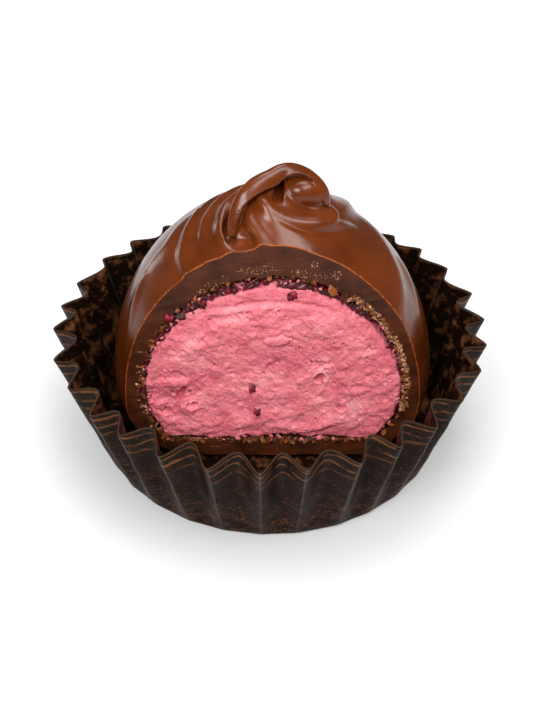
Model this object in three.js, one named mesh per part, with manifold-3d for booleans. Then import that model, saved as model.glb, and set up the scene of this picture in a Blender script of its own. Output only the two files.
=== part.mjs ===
// A chocolate cream: a milk chocolate dome over berry cream, its front sliced away so that the
// shell, the fruit seam and the cream show, standing in a fluted paper case.
// Millimetres, +Z up. The origin is the middle of the case's base, on the surface it stands on.
// The sliced face looks towards -Y.

import * as THREE from "three";
import { mergeVertices } from "three/addons/utils/BufferGeometryUtils.js";
import Module from "manifold-3d";

const wasm = await Module();
wasm.setup();

// ---------------------------------------------------------------- driving dimensions

// Clear space between two neighbouring pieces.
const GAP = 0.3;

// Fluted paper case. Ridges are the outer crests of the flutes, folds the inner ones.
const CASE = {
  flutes: 30,
  firstRidge: 183.1,
  baseRadius: 17.1,
  baseBend: 1.6,
  ridgeRadius: 21.6,
  ridgeHeight: 12.2,
  foldRadius: 19.5,
  foldHeight: 12.8,
  paper: 0.3,
  stepsPerFlute: 6,
  wallSteps: 4,
  firstLevel: 0.05,
  crumple: 0.16,
};

// Outside of the chocolate: an ellipsoid above its widest level and a rounded foot below.
const DOME = {
  centre: new THREE.Vector2(0.26, 1.11),
  radius: 16.25,
  widestLevel: 6.4,
  height: 25.3,
  footRadius: 12.4,
  footLevel: CASE.paper + GAP,
  segments: 64,
  upperRings: 25,
  lowerRings: 5,
};

// The hollow that the cream fills.
const HOLLOW = {
  centre: new THREE.Vector2(0.3, 1.11),
  radius: 14.75,
  widestLevel: 8,
  height: 22.3,
  footRadius: 13,
  footLevel: 2.6,
  segments: 44,
  upperRings: 9,
  lowerRings: 3,
};

// Berry seam between the chocolate and the cream, down to its lower edge.
const SEAM = { thickness: 0.42, lowerEdge: 5.6 };

// The slice: a flat face that leans back as it rises, and the cream's rougher face on it.
const SLICE = { distance: 6.82, lean: 5.7, creamProud: 0.1, relief: 0.17, step: 1.15 };

// Ropes of the finger-drawn swirl, each from the knob outwards over the dome. Azimuths turn
// anticlockwise from +X, polar angles are measured down from the top, and ease bends the path.
const FOLDS = [
  { azimuth: [117, 200], polar: [24, 74], ease: 0.3, rise: 0.55, inner: 3.4, outer: 1.1 },
  { azimuth: [113, 218], polar: [21, 46], ease: 0.45, rise: 0.85, inner: 2.4, outer: 0.8 },
  { azimuth: [140, 222], polar: [12, 32], ease: 0.7, rise: 0.6, inner: 1.2, outer: 0.9 },
  { azimuth: [168, 240], polar: [10, 27], ease: 1.1, rise: 0.75, inner: 0.7, outer: 0.9 },
  { azimuth: [194, 258], polar: [8, 24], ease: 0.4, rise: 0.8, inner: 0.9, outer: 0.8 },
  { azimuth: [215, 378], polar: [7, 32], ease: 0.75, rise: 1.05, inner: 0.9, outer: 0.8 },
  { azimuth: [236, 372], polar: [14, 46], ease: 0.7, rise: 0.6, inner: 1.5, outer: 1.2 },
  { azimuth: [330, 440], polar: [16, 52], ease: 0.7, rise: 0.7, inner: 2.0, outer: 1.1 },
  { azimuth: [20, 120], polar: [18, 62], ease: 0.7, rise: 0.6, inner: 2.4, outer: 1.2 },
  { azimuth: [318, 338], polar: [24, 58], ease: 1, rise: 0.5, inner: 2.2, outer: 2.4 },
];
const FOLD_STEPS = 28;

// How much closer a dome's rings lie towards its top, where the swirl is tightest.
const RING_CROWDING = 1.35;

// Knob on top: a hood of chocolate drawn up from the front left, over and down to the right,
// with a rounded bulb under its lip.
const HOOD = {
  back: [
    [-3.6, -2.3, 23.4],
    [-2.6, -0.6, 26.2],
    [-1.2, 0.9, 28.4],
    [1.0, 1.3, 29.0],
    [3.1, 0.7, 28.3],
    [4.6, 0.1, 26.2],
    [5.4, 0.0, 23.8],
  ],
  lip: [
    [-3.2, -2.9, 23.2],
    [-2.3, -2.2, 25.7],
    [-0.9, -1.7, 27.5],
    [1.0, -1.2, 28.9],
    [3.0, -0.4, 28.4],
    [4.5, -0.4, 26.2],
    [5.2, -0.6, 23.8],
  ],
  thickness: 2.2,
  lipShare: 0.22,
  bulge: 0.5,
  steps: 16,
  sides: 10,
};
const BULBS = [
  { centre: [3.3, -0.35, 26.2], radii: [2.15, 2.1, 2.3] },
  { centre: [0.9, 1.5, 25.4], radii: [3.7, 2.1, 3.6] },
];

// Two scraps of fruit that show in the cream's face.
const FRUIT_BITS = [
  { x: -1.7, z: 8.2, radius: 0.45 },
  { x: -1.2, z: 5.9, radius: 0.4 },
];

const COLOURS = {
  paper: 0x2a1d15,
  chocolate: 0x6b3a20,
  seam: 0x5a1020,
  cream: 0xd9798f,
};

// ---------------------------------------------------------------- shared helpers

const radians = THREE.MathUtils.degToRad;
const lerp = THREE.MathUtils.lerp;
const point = (values) => new THREE.Vector3(...values);
const onCircle = (radius, turn, height) =>
  new THREE.Vector3(radius * Math.cos(turn), radius * Math.sin(turn), height);

// A closed body from rings of points that run anticlockwise, closed by a point at each end.
function ringBody(firstPole, rings, lastPole) {
  const count = rings[0].length;
  const vertices = [firstPole, ...rings.flat(), lastPole];
  const last = vertices.length - 1;
  const at = (ring, column) => 1 + ring * count + (column % count);
  const faces = [];
  for (let column = 0; column < count; column += 1) {
    faces.push(0, at(0, column + 1), at(0, column));
    for (let ring = 0; ring + 1 < rings.length; ring += 1) {
      faces.push(at(ring, column), at(ring, column + 1), at(ring + 1, column + 1));
      faces.push(at(ring, column), at(ring + 1, column + 1), at(ring + 1, column));
    }
    faces.push(at(rings.length - 1, column), at(rings.length - 1, column + 1), last);
  }
  const geometry = new THREE.BufferGeometry().setFromPoints(vertices);
  geometry.setIndex(faces);
  return geometry;
}

function toSolid(geometry) {
  const vertProperties = new Float32Array(geometry.attributes.position.array);
  const triVerts = new Uint32Array(geometry.index.array);
  return new wasm.Manifold(new wasm.Mesh({ numProp: 3, vertProperties, triVerts }));
}

function toGeometry(solid) {
  const mesh = solid.getMesh();
  const geometry = new THREE.BufferGeometry();
  geometry.setAttribute("position", new THREE.BufferAttribute(mesh.vertProperties, 3));
  geometry.setIndex(new THREE.BufferAttribute(mesh.triVerts, 1));
  return geometry;
}

// Only the largest of a solid's separate pieces: loose scraps of a cut are dropped.
function largestPiece(solid) {
  const pieces = solid.decompose();
  pieces.sort((a, b) => b.volume() - a.volume());
  return pieces[0];
}

function namedMesh(name, geometry, colour, roughness) {
  const material = new THREE.MeshStandardMaterial({ color: colour, roughness, metalness: 0 });
  const mesh = new THREE.Mesh(geometry, material);
  mesh.name = name;
  return mesh;
}

// ---------------------------------------------------------------- paper case

// Middle of the paper at an azimuth, along its way from the base's bend (0) to the rim (1).
function casePaper(azimuth, along) {
  const turn = azimuth - radians(CASE.firstRidge);
  const uneven = CASE.crumple * Math.sin(8 * azimuth + 0.7) * Math.cos(14 * azimuth);
  const wave = Math.cos(CASE.flutes * turn + uneven);
  const middleRadius = (CASE.ridgeRadius + CASE.foldRadius) / 2;
  const halfFlute = (CASE.ridgeRadius - CASE.foldRadius) / 2;
  const rim = (CASE.foldHeight + CASE.ridgeHeight) / 2 - (wave * (CASE.foldHeight - CASE.ridgeHeight)) / 2;
  const bendShare = CASE.baseBend / CASE.foldHeight;
  const inBend = Math.max(0, 1 - along / bendShare);
  const radius = lerp(CASE.baseRadius, middleRadius, along) - (CASE.baseBend / 2) * inBend * inBend;
  const flute = halfFlute * wave * Math.pow(along, 0.8);
  const height = CASE.paper / 2 + along * (rim - CASE.paper / 2);
  return onCircle(radius + flute, azimuth, height);
}

// One face of the paper: the middle moved half a paper's thickness along its own normal.
function caseFace(azimuth, along, side) {
  const nudge = 1e-3;
  const around = casePaper(azimuth + nudge, along).sub(casePaper(azimuth - nudge, along));
  const up = casePaper(azimuth, along + nudge).sub(casePaper(azimuth, Math.max(0, along - nudge)));
  const normal = around.cross(up).normalize();
  return casePaper(azimuth, along).addScaledVector(normal, (side * CASE.paper) / 2);
}

function paperCase() {
  const columns = CASE.flutes * CASE.stepsPerFlute;
  const start = radians(CASE.firstRidge);
  const ring = (place) => {
    const points = [];
    for (let column = 0; column < columns; column += 1) {
      points.push(place(start + (column / columns) * 2 * Math.PI));
    }
    return points;
  };
  const flat = CASE.baseRadius - CASE.baseBend;
  const flatRing = (height) => ring((azimuth) => onCircle(flat, azimuth, height));
  const levels = [CASE.firstLevel];
  for (let step = 1; step <= CASE.wallSteps; step += 1) {
    levels.push(lerp(levels[0], 1, step / CASE.wallSteps));
  }
  const outside = levels.map((along) => ring((azimuth) => caseFace(azimuth, along, 1)));
  const inside = levels.map((along) => ring((azimuth) => caseFace(azimuth, along, -1))).reverse();
  const rings = [flatRing(0), ...outside, ...inside, flatRing(CASE.paper)];
  return ringBody(point([0, 0, 0]), rings, point([0, 0, CASE.paper]));
}

// ---------------------------------------------------------------- domes

// Point of a dome's plain surface: the polar angle runs from 0 at the top to 90 at the widest
// level, and from there to 180 at the edge of the flat foot.
function domePoint(dome, azimuth, polar) {
  const tilt = radians(Math.min(polar, 90));
  const drop = Math.max(0, polar - 90) / 90;
  const radius = dome.radius * Math.sin(tilt) - (dome.radius - dome.footRadius) * drop * drop;
  const upper = dome.widestLevel + (dome.height - dome.widestLevel) * Math.cos(tilt);
  const height = upper - (dome.widestLevel - dome.footLevel) * drop;
  const place = onCircle(radius, radians(azimuth), height);
  return place.add(new THREE.Vector3(dome.centre.x, dome.centre.y, 0));
}

function domeNormal(dome, azimuth, polar) {
  const tilt = radians(Math.min(polar, 90));
  const flat = Math.sin(tilt) / dome.radius;
  const rise = Math.cos(tilt) / (dome.height - dome.widestLevel);
  return onCircle(flat, radians(azimuth), rise).normalize();
}

// A closed dome on a flat foot, pushed out along its normal by lift(point, azimuth, polar).
function domeBody(dome, lift = () => 0) {
  const rings = [];
  const polars = [];
  for (let step = 0; step < dome.lowerRings; step += 1) {
    polars.push(lerp(180, 90, step / dome.lowerRings));
  }
  for (let step = 0; step < dome.upperRings; step += 1) {
    polars.push(90 * Math.pow(1 - step / dome.upperRings, RING_CROWDING));
  }
  for (const polar of polars) {
    const ring = [];
    for (let column = 0; column < dome.segments; column += 1) {
      const azimuth = (360 * column) / dome.segments;
      const place = domePoint(dome, azimuth, polar);
      ring.push(place.addScaledVector(domeNormal(dome, azimuth, polar), lift(place, azimuth, polar)));
    }
    rings.push(ring);
  }
  const top = domePoint(dome, 0, 0);
  top.z += lift(top, 0, 0);
  const foot = new THREE.Vector3(dome.centre.x, dome.centre.y, dome.footLevel);
  return ringBody(foot, rings, top);
}

// The same dome with its whole surface moved inwards.
function shrunkDome(dome, inset, rise = inset) {
  return {
    ...dome,
    radius: dome.radius - inset,
    height: dome.height - inset,
    footRadius: dome.footRadius - inset,
    footLevel: dome.footLevel + rise,
  };
}

// ---------------------------------------------------------------- chocolate swirl

// A rope's path over the dome: where it runs, which way its outer side faces, and how high it
// stands there. It fades in at the knob and out at its far end.
function foldPath(fold) {
  const places = [];
  for (let step = 0; step <= FOLD_STEPS; step += 1) {
    const share = step / FOLD_STEPS;
    const azimuth = lerp(fold.azimuth[0], fold.azimuth[1], Math.pow(share, fold.ease));
    const polar = lerp(fold.polar[0], fold.polar[1], share);
    const normal = domeNormal(DOME, azimuth, polar);
    places.push({ place: domePoint(DOME, azimuth, polar), normal, share });
  }
  return places.map((entry, index) => {
    const before = places[Math.max(0, index - 1)].place;
    const after = places[Math.min(FOLD_STEPS, index + 1)].place;
    const outward = after.clone().sub(before).cross(entry.normal).normalize();
    const fade = Math.sin(Math.PI * Math.pow(entry.share, 0.6));
    return { place: entry.place, outward, rise: fold.rise * fade };
  });
}

const foldPaths = FOLDS.map((fold) => ({ fold, path: foldPath(fold) }));

// Height of the swirl's ropes over the plain dome: the gentle side of each faces the knob, and
// the steep side faces away from it.
function swirlLift(place) {
  let lift = 0;
  for (const { fold, path } of foldPaths) {
    let nearest = path[0];
    let distance = Infinity;
    for (const entry of path) {
      const gap = entry.place.distanceTo(place);
      if (gap < distance) {
        distance = gap;
        nearest = entry;
      }
    }
    const side = place.clone().sub(nearest.place).dot(nearest.outward);
    const width = side > 0 ? fold.outer : fold.inner;
    lift += nearest.rise * Math.exp(-((distance / width) ** 2));
  }
  return lift;
}

function ellipsoid(centre, radii, segments, rows) {
  const rings = [];
  for (let row = 1; row < rows; row += 1) {
    const tilt = Math.PI * (1 - row / rows);
    const ring = [];
    for (let column = 0; column < segments; column += 1) {
      const turn = (2 * Math.PI * column) / segments;
      const place = onCircle(Math.sin(tilt), turn, Math.cos(tilt));
      ring.push(place.multiply(point(radii)).add(point(centre)));
    }
    rings.push(ring);
  }
  const pole = (way) => point([0, 0, way * radii[2]]).add(point(centre));
  return ringBody(pole(-1), rings, pole(1));
}

// The hood: an arched strip between its back and its lip, thick behind and thin at the lip.
function hood() {
  const back = new THREE.CatmullRomCurve3(HOOD.back.map(point));
  const lip = new THREE.CatmullRomCurve3(HOOD.lip.map(point));
  const heart = point(BULBS[1].centre);
  const rings = [];
  for (let step = 0; step <= HOOD.steps; step += 1) {
    const share = step / HOOD.steps;
    const backPoint = back.getPoint(share);
    const halfChord = backPoint.clone().sub(lip.getPoint(share)).multiplyScalar(0.5);
    const middle = backPoint.clone().sub(halfChord);
    const along = back.getTangent(share);
    const outward = halfChord.clone().cross(along).normalize();
    if (outward.dot(middle.clone().sub(heart)) < 0) {
      outward.negate();
    }
    const ring = [];
    for (let side = 0; side < HOOD.sides; side += 1) {
      const turn = (2 * Math.PI * side) / HOOD.sides;
      const thick = lerp(HOOD.lipShare, 1, (1 + Math.cos(turn)) / 2) * (HOOD.thickness / 2);
      const push = thick * Math.sin(turn) + HOOD.bulge * Math.sin(turn) ** 2;
      const stretch = 1 + HOOD.thickness / 4 / Math.max(halfChord.length(), 0.3);
      ring.push(
        middle
          .clone()
          .addScaledVector(halfChord, Math.cos(turn) * stretch)
          .addScaledVector(outward, push),
      );
    }
    rings.push(ring);
  }
  return ringBody(back.getPoint(0), rings, back.getPoint(1));
}

// ---------------------------------------------------------------- slice

const sliceDepth = (height) => -SLICE.distance + height * Math.tan(radians(SLICE.lean));

// Smears and pits that the blade leaves in the cream.
function creamRelief(x, z) {
  const across = 0.8 * x + 0.6 * z;
  const along = 0.8 * z - 0.6 * x;
  const smears = Math.sin(1.25 * along + 0.6 * Math.sin(0.5 * across));
  const pits = Math.sin(1.9 * across + 1.3) * Math.cos(2.1 * along);
  return SLICE.relief * (0.6 * smears + 0.4 * pits);
}

// Everything in front of the slice. Its back is the face that the slice leaves.
function frontBlock(step, relief) {
  const half = 24;
  const columns = Math.ceil((2 * half) / step);
  const rows = Math.ceil(34 / step);
  const vertices = [];
  for (const far of [false, true]) {
    for (let row = 0; row <= rows; row += 1) {
      for (let column = 0; column <= columns; column += 1) {
        const x = lerp(-half, half, column / columns);
        const z = lerp(-1, 33, row / rows);
        vertices.push(new THREE.Vector3(x, far ? -30 : sliceDepth(z) + relief(x, z), z));
      }
    }
  }
  const layer = (rows + 1) * (columns + 1);
  const at = (row, column, far) => row * (columns + 1) + column + (far ? layer : 0);
  const faces = [];
  const quad = (a, b, c, d) => faces.push(a, b, c, a, c, d);
  for (let row = 0; row < rows; row += 1) {
    for (let column = 0; column < columns; column += 1) {
      quad(at(row, column), at(row + 1, column), at(row + 1, column + 1), at(row, column + 1));
      quad(
        at(row, column, true),
        at(row, column + 1, true),
        at(row + 1, column + 1, true),
        at(row + 1, column, true),
      );
    }
    quad(at(row, 0), at(row, 0, true), at(row + 1, 0, true), at(row + 1, 0));
    quad(at(row, columns), at(row + 1, columns), at(row + 1, columns, true), at(row, columns, true));
  }
  for (let column = 0; column < columns; column += 1) {
    quad(at(0, column), at(0, column + 1), at(0, column + 1, true), at(0, column, true));
    quad(
      at(rows, column),
      at(rows, column, true),
      at(rows, column + 1, true),
      at(rows, column + 1),
    );
  }
  const geometry = new THREE.BufferGeometry().setFromPoints(vertices);
  geometry.setIndex(faces);
  return geometry;
}

// ---------------------------------------------------------------- the pieces

function chocolateShell(cut) {
  let solid = toSolid(domeBody(DOME, swirlLift)).add(toSolid(hood()));
  for (const bulb of BULBS) {
    solid = solid.add(toSolid(ellipsoid(bulb.centre, bulb.radii, 14, 8)));
  }
  return toGeometry(largestPiece(solid.subtract(toSolid(domeBody(HOLLOW))).subtract(cut)));
}

// Everything up to a level, as a wide flat disc.
function below(level) {
  const disc = new THREE.CylinderGeometry(22, 22, level + 1, 12);
  disc.rotateX(Math.PI / 2).translate(0, 0, (level - 1) / 2);
  disc.deleteAttribute("normal");
  disc.deleteAttribute("uv");
  return toSolid(mergeVertices(disc));
}

function berrySeam(cut) {
  const outside = toSolid(domeBody(shrunkDome(HOLLOW, GAP)));
  const inside = toSolid(domeBody(shrunkDome(HOLLOW, GAP + SEAM.thickness)));
  return toGeometry(
    largestPiece(outside.subtract(inside).subtract(below(SEAM.lowerEdge)).subtract(cut)),
  );
}

function creamFilling(cut) {
  const upper = toSolid(domeBody(shrunkDome(HOLLOW, 2 * GAP + SEAM.thickness, GAP)));
  const foot = toSolid(domeBody(shrunkDome(HOLLOW, GAP))).intersect(below(SEAM.lowerEdge - GAP));
  let solid = upper.add(foot).subtract(cut);
  for (const bit of FRUIT_BITS) {
    const depth = sliceDepth(bit.z) - SLICE.creamProud;
    const radii = [bit.radius, bit.radius * 0.8, bit.radius];
    solid = solid.add(toSolid(ellipsoid([bit.x, depth, bit.z], radii, 8, 5)));
  }
  return toGeometry(largestPiece(solid));
}

const smoothCut = toSolid(frontBlock(17, () => 0));
const roughCut = toSolid(
  frontBlock(SLICE.step, (x, z) => creamRelief(x, z) - SLICE.creamProud),
);

const cream = new THREE.Group();
cream.add(namedMesh("paper_case", paperCase(), COLOURS.paper, 0.55));
cream.add(namedMesh("chocolate_shell", chocolateShell(smoothCut), COLOURS.chocolate, 0.3));
cream.add(namedMesh("berry_seam", berrySeam(smoothCut), COLOURS.seam, 0.35));
cream.add(namedMesh("cream_filling", creamFilling(roughCut), COLOURS.cream, 0.6));

export default cream;
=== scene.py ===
"""A chocolate cream in a fluted paper case: the looks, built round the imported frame.

Shapes are worked out in millimetres, in the frame's own axes (+Z up, the sliced face towards -Y),
and turned to metres where a mesh is made. Every food piece is a field: a function that is negative
inside the piece. FieldMesher turns a field into a closed mesh.
"""

import itertools
import logging
import math
from collections.abc import Callable
from dataclasses import dataclass
from enum import Enum
from functools import lru_cache

import bmesh
import bpy
import numpy as np
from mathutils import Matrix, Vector


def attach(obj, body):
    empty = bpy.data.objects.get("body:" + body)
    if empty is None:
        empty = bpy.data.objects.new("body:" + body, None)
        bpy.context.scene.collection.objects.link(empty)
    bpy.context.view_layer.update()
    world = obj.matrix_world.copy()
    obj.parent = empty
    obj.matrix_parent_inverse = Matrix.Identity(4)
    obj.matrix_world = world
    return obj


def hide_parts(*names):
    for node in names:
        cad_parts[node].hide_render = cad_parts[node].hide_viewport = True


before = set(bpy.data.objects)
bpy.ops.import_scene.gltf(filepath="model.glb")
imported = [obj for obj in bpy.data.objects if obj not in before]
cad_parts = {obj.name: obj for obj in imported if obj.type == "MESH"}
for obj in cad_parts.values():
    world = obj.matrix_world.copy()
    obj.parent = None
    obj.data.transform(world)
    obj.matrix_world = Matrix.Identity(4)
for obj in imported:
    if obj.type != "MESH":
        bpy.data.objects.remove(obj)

LOG = logging.getLogger("chocolate_cream")
MM = 0.001
PHOTO_HEIGHT_PX = 711
LATTICE = 64
CREST_REACH = 2.6

Array = np.ndarray
Place = tuple[float, float, float]
Points = tuple[tuple[float, ...], ...]
Field = Callable[[Array], Array]
Height = Callable[[Array, Array], Array]
Socket = bpy.types.NodeSocket


# ------------------------------------------------------------------------------ shared maths


def linear(code: str) -> tuple[float, float, float, float]:
    """Turns an sRGB hex colour into the linear values that a shader takes.

    Args:
        code: six hex digits, such as "6B3A20".

    Returns:
        Red, green, blue and an alpha of 1.
    """
    parts = [int(code[place : place + 2], 16) / 255 for place in (0, 2, 4)]
    red, green, blue = (
        part / 12.92 if part <= 0.04045 else ((part + 0.055) / 1.055) ** 2.4 for part in parts
    )
    return red, green, blue, 1.0


def smooth_union(first: Array, second: Array, blend: float) -> Array:
    """Joins two fields with a fillet that reaches blend mm."""
    reach = np.maximum(blend - np.abs(first - second), 0) / blend
    return np.minimum(first, second) - reach * reach * blend / 4


def smooth_cut(body: Array, tool: Array, blend: float) -> Array:
    """Takes a tool's field out of a body's, with an edge rounded over blend mm."""
    return -smooth_union(-body, tool, blend)


@lru_cache(maxsize=None)
def lattice(seed: int) -> Array:
    """A block of random values between -1 and 1, LATTICE of them along each side."""
    return np.random.default_rng(seed).uniform(-1, 1, (LATTICE, LATTICE, LATTICE))


def lattice_noise(places: Array, seed: int) -> Array:
    """Smooth random values on a unit lattice, the same in each run.

    Args:
        places: points as rows of x, y, z, in lattice steps.
        seed: picks the pattern.

    Returns:
        One value between -1 and 1 for each point.
    """
    cell = np.floor(places).astype(np.int64)
    part = places - cell
    ease = part * part * (3 - 2 * part)
    pairs = zip((cell % LATTICE).T, ((cell + 1) % LATTICE).T)
    values = [lattice(seed)[corner] for corner in itertools.product(*pairs)]
    for axis in range(3):
        half = len(values) // 2
        values = [
            values[n] + ease[:, axis] * (values[n + half] - values[n]) for n in range(half)
        ]
    return values[0]


@dataclass(frozen=True)
class Grain:
    """A pattern of noise: width of its coarsest bumps in mm, number of layers, each twice as fine
    and half as high as the one before, seed, and how much it is pressed along each axis."""

    size: float
    layers: int
    seed: int
    press: Place = (1.0, 1.0, 1.0)

    def at(self, places: Array) -> Array:
        """Reads the pattern.

        Args:
            places: points in mm.

        Returns:
            One value for each point, mostly between -1 and 1.
        """
        places = places * self.press
        total = np.zeros(len(places))
        for layer in range(self.layers):
            fine = places * (2**layer / self.size)
            total += lattice_noise(fine, self.seed + layer) * 0.5**layer
        return total


def bump(values: Array) -> Array:
    """A smooth bump: 1 at 0 and next to nothing past 2."""
    return np.exp(-values * values)


def ramp(values: Array, low: float, high: float) -> Array:
    """A smooth rise from 0 at low to 1 at high."""
    share = np.clip((values - low) / (high - low), 0, 1)
    return share * share * (3 - 2 * share)


def smooth_route(points: Points, steps: int) -> Array:
    """A smooth curve through points.

    Args:
        points: the points, in order.
        steps: how many places of the curve are wanted.

    Returns:
        The places, one row each.
    """
    known = np.array(points, dtype=float)
    known = np.concatenate([[2 * known[0] - known[1]], known, [2 * known[-1] - known[-2]]])
    at = np.linspace(0, len(points) - 1, steps)
    span = np.minimum(at.astype(int), len(points) - 2)
    part = (at - span)[:, None]
    a, b, c, d = (known[span + n] for n in range(4))
    bend = (2 * a - 5 * b + 4 * c - d) * part**2 + (3 * b - a - 3 * c + d) * part**3
    return 0.5 * (2 * b + (c - a) * part + bend)


def crest_height(
    places: Array, route: Array, normals: Array, rises: Array, inner: float, outer: float
) -> Array:
    """Height of a ridge that runs along a route over a surface.

    Args:
        places: points on the surface.
        route: places along the ridge's crest.
        normals: the surface's outward normals along the route.
        rises: the crest's heights along the route.
        inner: width of the flank to the left of the route, seen from outside.
        outer: width of the flank to the right.

    Returns:
        The ridge's height at each point.
    """
    height = np.zeros(len(places))
    reach = CREST_REACH * max(inner, outer)
    low, high = route.min(axis=0) - reach, route.max(axis=0) + reach
    close = np.all((places > low) & (places < high), axis=1)
    part = places[close]
    right = np.cross(np.gradient(route, axis=0), normals)
    right /= np.linalg.norm(right, axis=1)[:, None]
    nearest = np.full(len(part), np.inf)
    side = np.zeros(len(part))
    rise = np.zeros(len(part))
    for step, middle in enumerate(route):
        gap = part - middle
        distance = np.einsum("ij,ij->i", gap, gap)
        closer = distance < nearest
        nearest[closer] = distance[closer]
        side[closer] = gap[closer] @ right[step]
        rise[closer] = rises[step]
    along = np.sqrt(np.maximum(nearest - side * side, 0))
    width = np.where(side > 0, outer, inner)
    height[close] = rise * bump(side / width) * bump(along / width)
    return height


@dataclass(frozen=True)
class HeightMap:
    """Heights worked out once on a flat grid and then read between its points."""

    low: tuple[float, float]
    step: float
    heights: Array

    @classmethod
    def of(
        cls, low: tuple[float, float], high: tuple[float, float], step: float, height: Height
    ) -> "HeightMap":
        """Fills a map.

        Args:
            low: the grid's lower corner.
            high: its upper corner.
            step: its spacing both ways.
            height: gives the heights at rows of both coordinates.

        Returns:
            The filled map.
        """
        axes = [np.arange(start, end + step, step) for start, end in zip(low, high)]
        first, second = np.meshgrid(*axes, indexing="ij")
        return cls(low, step, height(first.ravel(), second.ravel()).reshape(first.shape))

    def read(self, first: Array, second: Array) -> Array:
        """Reads the map.

        Args:
            first: first coordinates.
            second: second coordinates.

        Returns:
            Heights, the nearest edge's past the map's edges.
        """
        # A point on the last grid line still belongs to the cell before it.
        rows, columns = (count - 1.001 for count in self.heights.shape)
        across = np.clip((first - self.low[0]) / self.step, 0, rows)
        up = np.clip((second - self.low[1]) / self.step, 0, columns)
        left, below = across.astype(int), up.astype(int)
        across, up = across - left, up - below
        near = self.heights[left, below] * (1 - up) + self.heights[left, below + 1] * up
        far = self.heights[left + 1, below] * (1 - up) + self.heights[left + 1, below + 1] * up
        return near * (1 - across) + far * across


# ------------------------------------------------------------------------------ meshing


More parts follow.
